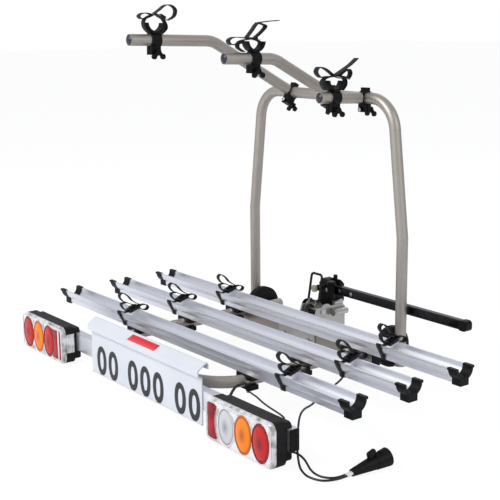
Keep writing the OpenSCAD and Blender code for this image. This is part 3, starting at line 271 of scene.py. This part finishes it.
# Arm end plugs: low-density polyethylene, moulded blue black, softly glossy,
# and pushed into the open tips of the arms.
plug_finish, tree, place = finish("Polyethylene, moulded blue black")
cloud = add(tree, "TexNoise", {"Vector": place, "Scale": 90.0, "Detail": 3.0})
tone = blend(tree, cloud.outputs["Fac"], "#191d24", "#272c35")
coat(tree, {"Base Color": tone, "Roughness": 0.38, "IOR": 1.51})
dress(plug_finish, "arm_plug_1", "arm_plug_2", "arm_plug_3")

# Number plate holder: a folded aluminium sheet, coated pale silver grey, the
# flattest and palest of the metals.
sheet_finish, tree, place = finish("Aluminium sheet, pale grey coat")
grain = add(tree, "TexNoise", {"Vector": place, "Scale": 900.0, "Detail": 2.0})  # 1.1 mm grain
cloud = add(tree, "TexNoise", {"Vector": place, "Scale": 9.0, "Detail": 2.0})
tone = blend(tree, cloud.outputs["Fac"], "#cfd3da", "#dde0e6")
bump = emboss(tree, grain.outputs["Fac"], 0.00003, 0.3)
coat(tree, {"Base Color": tone, "Roughness": 0.45, "IOR": 1.5, "Normal": bump})
dress(sheet_finish, "number_plate_holder")


# Number plate digits: plain black figures of vinyl, laid on the plate's face
# and 0.4 mm proud of it.
drawing_middle, drawing_floor = 167, -93  # the drawing's middle in Y and floor in Z, in mm


def shift(x, y, z):
    """A point of the drawing, in mm, in the frame of the model, in metres."""
    return Vector((x / 1000, (y - drawing_middle) / 1000, (z - drawing_floor) / 1000))


def settle(piece, name, material, body):
    """Applies a piece's place to its mesh, names it, coats it and lets it ride."""
    bpy.ops.object.select_all(action="DESELECT")
    piece.select_set(True)
    bpy.context.view_layer.objects.active = piece
    bpy.ops.object.transform_apply(location=True, rotation=True, scale=True)
    piece.name = name
    piece.data.materials.clear()
    piece.data.materials.append(material)
    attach(piece, body)
    return piece


digit_black, tree, place = finish("Vinyl ink, printed black")
cloud = add(tree, "TexNoise", {"Vector": place, "Scale": 300.0, "Detail": 2.0})
tone = blend(tree, cloud.outputs["Fac"], "#121214", "#1e1e21")
coat(tree, {"Base Color": tone, "Roughness": 0.4, "IOR": 1.5})
plate_middle = (18, -147.1, -55)
bpy.ops.object.select_all(action="DESELECT")
bpy.ops.object.text_add(location=shift(*plate_middle), rotation=(math.radians(90), 0, 0))
digits = bpy.context.object
digits.data.body = "00 000 00"
digits.data.align_x = "CENTER"
digits.data.align_y = "CENTER"
digits.data.size = 0.107
digits.data.space_character = 1.22
digits.data.extrude = 0.0003
digits.data.offset = 0.0028
digits.scale = (0.92, 1, 1)
bpy.ops.object.convert(target="MESH")
digits = settle(bpy.context.object, "number_plate_digits", digit_black, "rack")


# Hood sticker: a bare strip of red vinyl film stuck on the slope of the hood,
# a tenth of a millimetre thick, with a slightly paler lower edge.
def place_piece(name, data, material):
    """Puts a new mesh or curve in the scene, with its material, and selects it alone."""
    made = bpy.data.objects.new(name, data)
    bpy.context.collection.objects.link(made)
    made.data.materials.append(material)
    bpy.ops.object.select_all(action="DESELECT")
    made.select_set(True)
    bpy.context.view_layer.objects.active = made
    return made


def mesh_piece(name, spots, walls, material, map_name="", uvs=()):
    """A piece from its corners and faces, which it turns outwards."""
    mesh = bpy.data.meshes.new(name)
    mesh.from_pydata(spots, [], walls)
    if map_name:
        layer = mesh.uv_layers.new(name=map_name)
        for loop in mesh.loops:
            layer.data[loop.index].uv = uvs[loop.vertex_index]
    made = place_piece(name, mesh, material)
    bpy.ops.object.mode_set(mode="EDIT")
    bpy.ops.mesh.select_all(action="SELECT")
    bpy.ops.mesh.normals_make_consistent(inside=False)
    bpy.ops.object.mode_set(mode="OBJECT")
    return made


vinyl, tree, place = finish("Vinyl film, printed red")
height = add(tree, "SeparateXYZ", {"Vector": place})
grain = add(tree, "TexNoise", {"Vector": place, "Scale": 200.0, "Detail": 3.0})
lower = add(tree, "MapRange", {"Value": height.outputs[2], "From Min": 0.139, "From Max": 0.146})
mixed = add(tree, "Math",
            {"operation": "MULTIPLY_ADD", 0: grain.outputs["Fac"], 1: 0.2, 2: lower.outputs[0]})
tone = blend(tree, mixed.outputs[0], "#dc5560", "#d3202d")
coat(tree, {"Base Color": tone, "Roughness": 0.3, "IOR": 1.5})
hood_y, hood_z, hood_run, hood_rise = -156.5, 43, 21, 14  # the slope's low edge, run and rise
film_under, film_top = 1.45, 1.62  # above the middle of the hood's sheet
film = [Vector((x, hood_y + hood_run * part_way, hood_z + hood_rise * part_way))
        for x, part_way in ((-53.5, 0.09), (75.5, 0.09), (78.5, 0.92), (-48.5, 0.92))]
hood_normal = Vector((0, -hood_rise, hood_run)).normalized()
spots = [shift(*(at + hood_normal * lift)) for lift in (film_under, film_top) for at in film]
walls = [(3, 2, 1, 0), (4, 5, 6, 7), (0, 1, 5, 4), (1, 2, 6, 5), (2, 3, 7, 6), (3, 0, 4, 7)]
sticker = mesh_piece("hood_sticker", spots, walls, vinyl)
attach(sticker, "rack")

# Lamp covers: clear acrylic over a silvered ground, a pale bright grey with painted brown grey
# reflections in patches, a clear rim and fine ribs.
lamp_ground, tree, place = finish("Acrylic, clear over a silvered ground")
ribs = add(tree, "TexWave", {"Vector": place, "Scale": 78.0})  # prism ribs 4 mm apart
# Painted reflection: noise patches turn the pale grey to brown grey in the colour.
reflection_noise = add(tree, "TexNoise", {"Vector": place, "Scale": 46.0, "Detail": 4.0})
painted_reflection = add(tree, "MapRange", {"Value": reflection_noise.outputs["Fac"], "From Min": 0.36, "From Max": 0.56})
tone = blend(tree, painted_reflection.outputs[0], "#a7a29f", "#f1f1f3")
bump = emboss(tree, ribs.outputs["Fac"], 0.0004, 0.3)
coat(tree, {"Base Color": tone, "Roughness": 0.16, "Metallic": 0.35, "IOR": 1.49,
            "Coat Weight": 0.8, "Coat Roughness": 0.05, "Normal": bump})
dress(lamp_ground, "lamp_covers")

# Lamp lenses: injection-moulded acrylic, dyed red and amber or left clear, with a fly's-eye pattern
# of prisms, and painted glints that run the colour from dark to light in patches.
lens_looks = {}
for name, dark, light, node in (
        ("Acrylic lens, dyed red", "#6a0509", "#b80a10", "lamp_red_lenses"),
        ("Acrylic lens, dyed amber", "#a04c04", "#fb9309", "lamp_amber_lenses"),
        ("Acrylic lens, clear", "#8a8c90", "#eceef1", "lamp_clear_lenses"),
        ("Acrylic reflector, dyed deep red", "#6a0710", "#a9101b", "lamp_reflectors")):
    lens_looks[node], tree, place = finish(name)
    prism = add(tree, "TexVoronoi", {"Vector": place, "Scale": 230.0})  # prisms 4.3 mm apart
    # Painted glints: noise patches move each colour between a dark and a light tone.
    painted_glint = add(tree, "TexNoise", {"Vector": place, "Scale": 34.0, "Detail": 2.0})
    depth = add(tree, "MapRange", {"Value": painted_glint.outputs["Fac"], "From Min": 0.3, "From Max": 0.7})
    tone = blend(tree, depth.outputs[0], dark, light)
    bump = emboss(tree, prism.outputs["Distance"], 0.0005, 0.35)
    coat(tree, {"Base Color": tone, "Roughness": 0.26, "IOR": 1.49, "Specular IOR Level": 0.25,
                "Coat Weight": 0.12, "Coat Roughness": 0.06, "Normal": bump})
    dress(lens_looks[node], node)


# Lens domes: each oval lens bulges out of the cover behind a raised rim, with a groove inside the
# rim and a deep centre. The colour follows the radius, with painted shade in the groove.
def turned_piece(name, profile, base, towards, squash, material):
    """A solid of revolution in mm: radius and height pairs, along a direction."""
    z_way = Vector(towards).normalized()
    x_way = Vector((0, 0, 1)).cross(z_way).normalized()
    y_way = z_way.cross(x_way)
    sides = 48
    widest = max(r for r, h in profile)
    spots, uvs = [], []
    for r, h in profile:
        for k in range(sides):
            angle = 2 * math.pi * k / sides
            spots.append(shift(*(Vector(base) + x_way * r * math.cos(angle) * squash[0]
                                 + y_way * r * math.sin(angle) * squash[1] + z_way * h)))
            uvs.append((r / widest, k / sides))
    walls = [(i * sides + k, i * sides + (k + 1) % sides,
              (i + 1) * sides + (k + 1) % sides, (i + 1) * sides + k)
             for i in range(len(profile) - 1) for k in range(sides)]
    walls.append(tuple(range(sides))[::-1])
    walls.append(tuple(range((len(profile) - 1) * sides, len(profile) * sides)))
    made = mesh_piece(name, spots, walls, material, "Radius", uvs)
    bpy.ops.object.shade_smooth_by_angle(angle=math.radians(32))
    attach(made, "rack")


domes = {}
for name, deep, bright, rim in (("red", "#6b0408", "#c1080e", "#8f0a10"),
                                ("amber", "#ad5204", "#f08203", "#c4660a"),
                                ("clear", "#8f9095", "#c9cacd", "#e4e5e9")):
    domes[name], tree, place = finish("Acrylic dome, moulded " + name)
    radius = add(tree, "SeparateXYZ", {"Vector": place.node.outputs["UV"]}).outputs[0]
    prism = add(tree, "TexVoronoi", {"Vector": place, "Scale": 230.0})
    middle = add(tree, "MapRange", {"Value": radius, "From Min": 0.0, "From Max": 0.5})
    centre_tone = blend(tree, middle.outputs[0], deep, bright)
    # Painted shade: the ring of the groove inside the rim is darkened to the deep tone.
    groove_shade = add(tree, "MapRange", {"Value": radius, "From Min": 0.8, "From Max": 0.9})
    groove_shaded_tone = add(tree, "Mix", {"data_type": "RGBA", 0: groove_shade.outputs[0], 6: centre_tone,
                                    7: linear(deep)})
    edge = add(tree, "MapRange", {"Value": radius, "From Min": 0.93, "From Max": 0.95})
    tone = add(tree, "Mix", {"data_type": "RGBA", 0: edge.outputs[0], 6: groove_shaded_tone.outputs[2],
                             7: linear(rim)})
    bump = emboss(tree, prism.outputs["Distance"], 0.0004, 0.35)
    coat(tree, {"Base Color": tone.outputs[2], "Roughness": 0.24, "IOR": 1.49,
                "Specular IOR Level": 0.3, "Coat Weight": 0.12, "Coat Roughness": 0.06,
                "Normal": bump})
dome_profile = ((30.3, -0.4), (30.3, 0.9), (29.3, 1.4), (28.3, 1.1), (27.6, 0.3), (26.4, 0.4),
                (24.5, 1.2), (20, 2.2), (14, 3.0), (7, 3.5), (0.4, 3.7))
cover_front, lamp_middle = -190, -39  # the covers' front in Y and the lamps' middle in Z
outer_lens, lens_pitch, lens_wide, lens_high = 546, 62, 61, 91  # the first one's X, in mm
for side, word, dyes in ((1, "right", ("red", "amber", "clear")),
                         (-1, "left", ("red", "amber", "red"))):
    for number, dye in enumerate(dyes):
        turned_piece("lens_dome_%s_%d" % (word, number + 1), dome_profile,
                     (side * (outer_lens - lens_pitch * number), cover_front, lamp_middle),
                     (0, -1, 0), (1, lens_high / lens_wide), domes[dye])


# Lamp face details: clear beads round each cover, and the flat red and clear
# reflector strips at the inner ends, moulded in one with the covers.
def round_line(name, points, radius, closed, material):
    """A round bead or lead in mm along a line of points, as a curve."""
    data = bpy.data.curves.new(name, "CURVE")
    data.dimensions = "3D"
    spline = data.splines.new("POLY")
    spline.points.add(len(points) - 1)
    for point, at in zip(spline.points, points):
        point.co = (*shift(*at), 1)
    spline.use_cyclic_u = closed
    data.bevel_depth = radius / 1000
    data.bevel_resolution = 3
    data.use_fill_caps = not closed
    return place_piece(name, data, material)


def cover_bead(name, points, radius, closed, material):
    """A thin round bead moulded on a lamp cover, along a line of points."""
    round_line(name, points, radius, closed, material)
    bpy.ops.object.convert(target="MESH")
    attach(bpy.context.object, "rack")


def soften(piece, width, segments, smooth_angle):
    """Rounds the edges of the selected piece by some metres and smooths it."""
    bevel = piece.modifiers.new("Rounded edge", "BEVEL")
    bevel.width = width
    bevel.segments = segments
    bpy.ops.object.modifier_apply(modifier=bevel.name)
    bpy.ops.object.shade_smooth_by_angle(angle=math.radians(smooth_angle))


def cover_strip(name, outline, proud, material):
    """A flat strip from its outline in X and Z, a little proud of the cover's front."""
    n = len(outline)
    front, back = cover_front - proud, cover_front + 0.2
    spots = [shift(x, y, z) for y in (front, back) for x, z in outline]
    walls = [tuple(range(n)), tuple(range(2 * n - 1, n - 1, -1))]
    walls += [(k, k + n, (k + 1) % n + n, (k + 1) % n) for k in range(n)]
    made = mesh_piece(name, spots, walls, material)
    soften(made, 0.0003, 2, 30)
    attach(made, "rack")


def lens_arc(side, grow, heights):
    """Points in X and Z on the inner side of the inner lens, grown by some mm."""
    wide, high = lens_wide / 2 + grow, lens_high / 2 + grow
    inner_lens = outer_lens - 2 * lens_pitch
    return [(side * (inner_lens - wide * math.sqrt(1 - (z / high) ** 2)), lamp_middle + z)
            for z in heights]


def upright_strip(x_from, x_to, half_height):
    """The outline of a straight strip, from one X to another."""
    low, high = lamp_middle - half_height, lamp_middle + half_height
    return [(x_from, low), (x_to, low), (x_to, high), (x_from, high)]


bead_looks = []
for name, dark, light in (("Acrylic, clear moulded bead", "#c2c2c6", "#fbfbfd"),
                          ("Acrylic, clear bead over red", "#c8747c", "#eec3c7")):
    bead_look, tree, place = finish(name)
    streak = add(tree, "TexNoise", {"Vector": place, "Scale": 120.0, "Detail": 2.0})
    tone = blend(tree, streak.outputs["Fac"], dark, light)
    coat(tree, {"Base Color": tone, "Roughness": 0.12, "IOR": 1.49, "Coat Weight": 0.6})
    bead_looks.append(bead_look)
bead_clear, bead_pink = bead_looks
lamp_outer, lamp_inner, lamp_half_high, lamp_corner = 586, 342, 52, 18
near_x, far_x = lamp_inner + lamp_corner, lamp_outer - lamp_corner  # the middles of the corners
corner_half = lamp_half_high - lamp_corner
low_z, high_z = lamp_middle - corner_half, lamp_middle + corner_half
corners = ((far_x, high_z), (near_x, high_z), (near_x, low_z), (far_x, low_z))
for side, word in ((1, "right"), (-1, "left")):
    for ring, (inset, bead) in enumerate(((4.6, 1.1), (8.2, 0.6))):
        round_off = lamp_corner - inset
        loop_line = []
        for quarter, (x, z) in enumerate(corners):
            for k in range(9):
                angle = math.radians(90 * quarter + 90 * k / 8)
                loop_line.append((side * (x + round_off * math.cos(angle)), cover_front - 0.2,
                                  z + round_off * math.sin(angle)))
        cover_bead("lamp_rim_%s_%d" % (word, ring + 1), loop_line, bead, True, bead_clear)
deep_red = lens_looks["lamp_reflectors"]
reflector_x, reflector_half = lamp_inner + 10, 39
cover_strip("lamp_right_reflector_face",
            [(reflector_x, lamp_middle - reflector_half), *lens_arc(1, 14, range(-39, 40, 6)),
             (reflector_x, lamp_middle + reflector_half)], 0.7, deep_red)
for number, (grow, look) in enumerate(((11.5, bead_pink), (8.0, bead_clear), (4.5, bead_clear))):
    arc = [(x, cover_front - 0.5, z) for x, z in lens_arc(1, grow, range(-36, 37, 4))]
    cover_bead("lamp_right_rib_%d" % (number + 1), arc, 0.8, False, look)
reflector_x, reflector_half = -369.5, 41
cover_strip("lamp_left_reflector_face",
            [(reflector_x, lamp_middle - reflector_half),
             (reflector_x, lamp_middle + reflector_half),
             *lens_arc(-1, 2, range(-40, 41, 5))[::-1]], 0.7, deep_red)
cover_strip("lamp_left_clear_strip", upright_strip(-368.5, -361.5, 41), 0.6, bead_clear)
cover_strip("lamp_left_red_strip", upright_strip(-360.5, -355, 40), 0.7, deep_red)
window_x, window_y, window_z, window_half = -lamp_inner - 0.2, cover_front + 16.5, -33, 24
window_rib_pitch = 5.4
for number in range(4):
    y = window_y + window_rib_pitch * number
    cover_bead("lamp_left_window_rib_%d" % (number + 1),
               [(window_x, y, window_z - window_half), (window_x, y, window_z + window_half)],
               0.7, False, bead_clear)

# Straps: black polyester webbing, woven narrow and folded back through its
# buckles. The eye gets a ribbed weave, 2 mm a rib, and rolled edges.
webbing_finish, tree, place = finish("Polyester webbing, woven black")
cloth = place.node.outputs["UV"]
# Ribs 2 mm apart across the webbing, and warp threads 1.2 mm apart along it
ribs = add(tree, "TexWave", {"Vector": cloth, "Scale": 157.0, "bands_direction": "Y"})
warp = add(tree, "TexWave", {"Vector": cloth, "Scale": 260.0, "bands_direction": "X"})
weave = add(tree, "Math", {"operation": "MULTIPLY", 0: ribs.outputs["Fac"], 1: warp.outputs["Fac"]})
tone = blend(tree, weave.outputs[0], "#070708", "#18181b")
bump = emboss(tree, weave.outputs[0], 0.0004, 0.6)
coat(tree, {"Base Color": tone, "Roughness": 0.7, "Sheen Weight": 0.1, "Specular IOR Level": 0.3,
            "Normal": bump})


def smooth_line(points):
    """A curve through given points."""
    steps = 6  # straight pieces from one point to the next
    p = [Vector(q) for q in points]
    line = []
    for i in range(len(p) - 1):
        a, b, c, d = p[max(i - 1, 0)], p[i], p[i + 1], p[min(i + 2, len(p) - 1)]
        for j in range(steps):
            t = j / steps
            line.append((2 * b + (c - a) * t + (2 * a - 5 * b + 4 * c - d) * t * t
                         + (3 * b - a - 3 * c + d) * t ** 3) / 2)
    return line + [p[-1]]


def webbing(name, path, width, centre, slope, body):
    """Flat webbing along a side view in Y and Z, turned about its centre."""
    line = smooth_line([(0, y, z) for y, z in path])
    half, thick = width / 2, 1.9
    edge = thick * 0.45
    section = ((-half, 0), (-half + edge, thick / 2), (0, thick / 2), (half - edge, thick / 2),
               (half, 0), (half - edge, -thick / 2), (0, -thick / 2), (-half + edge, -thick / 2))
    turned = Matrix.Rotation(slope, 3, "X")
    spots, walls, uvs, run = [], [], [], 0
    for i, at in enumerate(line):
        ahead = (line[min(i + 1, len(line) - 1)] - line[max(i - 1, 0)]).normalized()
        run += (at - line[i - 1]).length if i else 0
        out = Vector((0, -ahead.z, ahead.y))
        for x, h in section:
            spots.append(shift(*(Vector(centre) + turned @ (Vector((x, 0, 0)) + at + out * h))))
            uvs.append((x / 1000, run / 1000))
    n = len(section)
    for i in range(len(line) - 1):
        for k in range(n):
            beside = (k + 1) % n
            walls.append((i * n + k, (i + 1) * n + k, (i + 1) * n + beside, i * n + beside))
    walls.append(tuple(range(n)))
    walls.append(tuple((len(line) - 1) * n + n - 1 - k for k in range(n)))
    made = mesh_piece(name, spots, walls, webbing_finish, "Weave", uvs)
    bpy.ops.object.shade_smooth_by_angle(angle=math.radians(50))
    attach(made, body)
    return made


# Wheel straps: each goes round its rail, back through a cam buckle, and ends
# in a loose loop that stands up.
# One strap in Y and Z, seen along its rail
strap_ring = ((15, 46.2), (-1.3, 41.2), (-12, 39.5), (-19, 42), (-26, 45.4), (-31.8, 46.2),
              (-31.2, 40), (-27.4, 32.4), (-21.9, 22.8), (-16.8, 14), (-14.3, 6), (-12, 2.7),
              (12, 2.7), (14.3, 6), (16.8, 14), (21.9, 22.8), (27.4, 32.4), (31.2, 40), (34.5, 46),
              (32, 51.4), (15, 46.2))
strap_loop = ((34, 52), (36, 55), (30, 58), (12, 70), (0, 84), (-14, 95), (-24, 95.5), (-28, 87),
              (-18, 73), (-6, 67.5), (8, 60), (20, 56))
strap_tail = ((-2, 40), (-9, 44.5), (-19, 54), (-23, 62), (-20.5, 67), (-6, 67.3))
strap_fold = ((34, 50.5), (44, 52.6), (58, 50.3), (64, 43), (57.5, 36.2), (44, 38.6), (37, 44.8))
buckle_finish, tree, place = finish("Zinc die casting, black chromate")
worn = add(tree, "TexNoise", {"Vector": place, "Scale": 150.0, "Detail": 3.0})
tone = blend(tree, worn.outputs["Fac"], "#0f0f11", "#252528")
coat(tree, {"Base Color": tone, "Roughness": 0.34, "Metallic": 0.6})
dress(buckle_finish, "wheel_buckles")


def rounded_block(name, centre, size, turn, softness, material, body):
    """A block in mm with rounded edges, turned about X round its middle."""
    bpy.ops.object.select_all(action="DESELECT")
    bpy.ops.mesh.primitive_cube_add(size=1, location=shift(*centre), rotation=(turn, 0, 0))
    made = bpy.context.object
    made.scale = [v / 1000 for v in size]
    made = settle(made, name, material, body)
    soften(made, softness / 1000, 3, 40)
    return made


strap_parts = (("ring", strap_ring), ("loop", strap_loop), ("tail", strap_tail),
               ("fold", strap_fold))
wheel_strap_width, cam_lean = 15, math.radians(17)
strap_places = ((-300, 0), (406, 0), (-307, 171.5), (420, 171.5), (-303, 343), (385, 343))
for number, (x, rail) in enumerate(strap_places):
    name = "wheel_strap_%d_" % (number + 1)
    for part, path in strap_parts:
        piece = webbing(name + part, path, wheel_strap_width, (x, rail, 0), 0, "rack")
        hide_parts("wheel_straps")
    rounded_block(name + "cam", (x, rail + 12.5, 52.2), (17, 15, 3.2), cam_lean, 1.0, buckle_finish,
                  "rack")
    rounded_block(name + "bar", (x, rail + 16.2, 41.2), (24.4, 33, 1.8), cam_lean, 0.6, zinc,
                  "rack")

# Holder straps: the same webbing laid round each cradle, with loops and loose
# tails as they were left, each closed by a zinc plated frame and a black cam.
# For each holder: how far its straps sit off its middle, the bands from the
# cradle to the loose tails in Y and Z, and the buckle's place, length and lean
holder_bands = (
    (-5, (((-9.4, 17), (-24.3, 31.4), (-26.6, 48), (-14.1, 58.6), (4.5, 63.9), (23.6, 59.2),
           (36.3, 46.8), (41.4, 32.2), (33.6, 21.6), (23.4, 15.2)),
          ((-1.5, 63.8), (-19, 67.6), (-33.9, 65.7), (-41.4, 59.3), (-34, 53.3), (-19.1, 55.2),
           (-1.6, 62.1)),
          ((4.5, 67.2), (18.7, 75.8), (36.5, 87.9), (54.4, 89.1), (68.8, 79), (67.2, 64.2),
           (56.8, 55.6), (46.6, 52))),
     (26, 56.7, 40, -25.6)),
    (-4, (((-28.9, 17.3), (-47.6, 27.6), (-45.1, 40.1), (-29.4, 46.4), (-2.8, 48.6), (18.8, 44.6),
           (27.1, 36.2)),
          ((-2.8, 48.6), (-34.8, 52.5), (-63.6, 52.3), (-77.6, 44), (-68.6, 34.6), (-45.1, 37.2),
           (-29.3, 42.2)),
          ((-21.5, 51.4), (-3.2, 71.5), (12.6, 88.4), (39.6, 93.8), (80.7, 97.8)),
          ((7.9, 54.1), (26.5, 67.7), (39.8, 82.5), (23.4, 88.5), (12.6, 90.4))),
     (0, 46.6, 36, 0)),
    (-5, (((-25, 20.2), (-37.1, 37), (-26.5, 49.6), (1.6, 53.9), (36.3, 49.8), (42.9, 34.9),
           (32.2, 20)),
          ((4.4, 53.9), (-27.8, 72.6), (-50.3, 76.5), (-58.1, 64), (-43.5, 51.6), (-21.1, 53.8),
           (1.5, 54.7)),
          ((18.6, 56.1), (38.1, 68.9), (52.3, 73.2), (58.8, 62.6), (50.8, 49.8), (36.3, 48.9)),
          ((7.1, 58.1), (34.9, 73.1), (57.4, 86), (78.7, 102))),
     (28, 49.3, 46, -8)))
hoop_bar = (464, 639)  # the middle of the hoop's crossbar, in Y and Z
holder_strap_width = 19
# Each arm's tip and next bend in Y and Z, its reach, and its holder's way from the bar
for number, x, tip, next_point, reach, from_bar in (
        (1, -137, (-68.5, 796.4), (189.4, 788.2), 532.5, 458),
        (2, 30, (105.5, 748.9), (267, 743), 358.5, 265),
        (3, 165, (305.5, 647.4), hoop_bar, 158.5, 111)):
    ahead = Vector((0, next_point[0] - tip[0], next_point[1] - tip[1])).normalized()
    centre = Vector((x, tip[0], tip[1])) + ahead * (reach - from_bar)
    slope = math.atan2(ahead.z, ahead.y)
    body = "holder_" + "abc"[number - 1]
    nudge, bands, (buckle_y, buckle_z, buckle_len, lean) = holder_bands[number - 1]
    for band_number, band in enumerate(bands):
        piece = webbing("holder_%d_strap_%d" % (number, band_number + 1),
                        [(y + nudge, z) for y, z in band], holder_strap_width, centre, slope, body)
        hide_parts("holder_strap_%d" % number)
    turned = Matrix.Rotation(slope, 3, "X")
    tilt = slope + math.radians(lean)
    for part, lift, size, soft, metal, slot in (
            ("frame", 1.6, (23, buckle_len, 1.8), 0.6, zinc, "zinc"),
            ("cam", 5.0, (21, 15, 4.6), 1.6, buckle_finish, "buckle")):
        at = centre + turned @ Vector((0, buckle_y + nudge, buckle_z + lift))
        piece = rounded_block("holder_%d_buckle_%s" % (number, part), at, size, tilt, soft, metal,
                              body)
        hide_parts("holder_strap_%d" % number)
    for side in (-1, 1):
        at = centre + turned @ Vector((side * 11.6, buckle_y + nudge, buckle_z + 3.6))
        piece = rounded_block("holder_%d_buckle_cheek_%d" % (number, side + 2), at, (1.8, 17, 7),
                              tilt, 0.6, buckle_finish, body)
        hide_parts("holder_strap_%d" % number)


# Lever screws: two zinc plated button heads, cold formed, on the face of the
# lever that looks at the rails.
def button_head(name, centre, radius, height, towards, sides, body):
    """A screw head or nut in mm, its flat side on the piece and its rim rounded."""
    outwards = Vector(towards)
    bpy.ops.object.select_all(action="DESELECT")
    bpy.ops.mesh.primitive_cylinder_add(
        vertices=sides, radius=radius / 1000, depth=height / 1000,
        location=shift(*(Vector(centre) + outwards.normalized() * height / 2)),
        rotation=outwards.to_track_quat("Z", "Y").to_euler())
    made = settle(bpy.context.object, name, zinc, body)
    soften(made, height / 2500, 3, 35)


lever_face, lever_middle = 488.1, 87  # in Y and in Z
for number, x, height in ((1, 43.5, 0.3), (2, 92, 1.2)):
    button_head("lever_screw_%d" % number, (x, lever_face, lever_middle), 5.5, height, (0, -1, 0),
                32, "lever")

# Clamp nuts: the zinc plated hexagon nuts that show in the pockets of the arm
# clamps, opposite the wing screws.
nut_back, nut_down = 17.2, 30  # from the middle of the crossbar, along the arm and below it
for number, body, x, arm_y, arm_z in ((1, "long_arm", -137, 189.4, 788.2),
                                      (2, "middle_arm", 30, 267, 743),
                                      (3, "short_arm", 165, 305.5, 647.4)):
    arm_way = Vector((0, hoop_bar[0] - arm_y, hoop_bar[1] - arm_z)).normalized()
    below = Vector((0, arm_way.z, -arm_way.y))
    nut_at = Vector((x, *hoop_bar)) - arm_way * nut_back + below * nut_down
    button_head("arm_clamp_nut_%d" % number, nut_at, 6.2, 2.8, -arm_way, 6, body)

# Coupling bush: a disc with a raised rim, moulded black, which lies outside the
# left cheek of the coupling.
turned_piece("coupling_bush",
             ((10, 0), (16.6, 0), (17, 0.8), (17, 4.2), (15.6, 5), (11, 5), (10, 4.2), (4, 4.2)),
             (-43.4, 443, 38), (-1, 0, 0), (1, 1), moulded_black)

# Plug details: a clear sleeve that gathers both leads in front of the boot, and
# the raised key and the lid's catch of the 13-pin body, moulded black.
plug_end, plug_run, plug_rise = Vector((703, -70, -84.5)), 98, 12.5
plug_way = Vector((6, plug_run, plug_rise)).normalized()
plug_tilt = math.atan2(plug_rise, plug_run)
turned_piece("plug_sleeve", ((5.6, 0), (6.5, 0.5), (6.7, 6), (6.4, 15.5), (5.6, 16)),
             (702.6, -85.6, -86.4), plug_way, (1, 0.58), bead_clear)
for name, along_plug, lift, size, tilt, soft in (
        ("plug_key", 84, (0, 0, 19.6), (9, 22, 3.6), plug_tilt, 1.2),
        ("plug_lid_catch", 55, (-1, 0, 21), (12, 24, 19), plug_tilt + 0.2, 5.5)):
    rounded_block(name, plug_end + plug_way * along_plug + Vector(lift), size, tilt, soft,
                  moulded_black, "rack")

# Lamp leads: two round black flexible leads that leave the rack's right side,
# run down to the floor and meet in the plug. PVC sheath over stranded copper.
lead_sheath, tree, place = finish("PVC sheath, extruded black")
skin = add(tree, "TexNoise", {"Vector": place, "Scale": 900.0, "Detail": 3.0})
wear = add(tree, "TexNoise", {"Vector": place, "Scale": 30.0, "Detail": 2.0})
tone = blend(tree, wear.outputs["Fac"], "#08080a", "#121214")
bump = emboss(tree, skin.outputs["Fac"], 0.00005, 0.4)
coat(tree, {"Base Color": tone, "Roughness": 0.42, "IOR": 1.53, "Normal": bump})
dress(lead_sheath, "jumper_leads")
left_lead_line = [
    (262, 330, -14), (275, 327.6, -13.8), (286, 319.5, -13), (306, 294.5, -10.5), (330, 268, -8),
    (380, 205, -4), (419, 158, -2), (440, 118, -3), (474, 50, -3), (507, -12, -3), (519, -44, -3),
    (540, -74, -5), (562, -98, -20), (582, -117, -58), (604, -130, -84), (630, -141, -89.5),
    (658, -146, -89.5), (686, -136, -89.5), (702, -110, -88), (706.1, -80.4, -85.8),
    (706.7, -70.5, -84.5),
]
right_lead_line = [
    (560, -129.7, -70), (561, -121.3, -70.5), (566.4, -111, -73.1), (577, -104.4, -78.1),
    (590.5, -103.6, -84), (606, -108.6, -88.2), (625, -117.5, -89.5), (648, -125, -89.5),
    (670, -124.5, -89.5), (688, -114, -89), (696, -98, -88), (698.7, -80, -85.8),
    (699.3, -70.1, -84.5),
]
lead_radius = 2.5
for side, points in (("left", left_lead_line), ("right", right_lead_line)):
    line = smooth_line(points)
    lead = round_line(side + "_lamp_lead_sheath", line, lead_radius, False, lead_sheath)
    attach(lead, "rack")
    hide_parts(side + "_lamp_lead")

# Lead reliefs: tapered and grooved boots, moulded black round the leads where
# they leave the frame tube and the right lamp.
relief = ((5.4, 0), (5.6, 1), (5.2, 2.4), (4.6, 2.6), (4.8, 5), (4.1, 5.2), (4.2, 7.4), (3.5, 7.6),
          (3.5, 9.6), (2.8, 12))
for name, at, towards in (("left_lead_relief", left_lead_line[0], (13, -2.4, 0.2)),
                          ("right_lead_relief", right_lead_line[0], (0.6, 8.2, -0.3))):
    turned_piece(name, relief, at, towards, (1, 1), moulded_black)
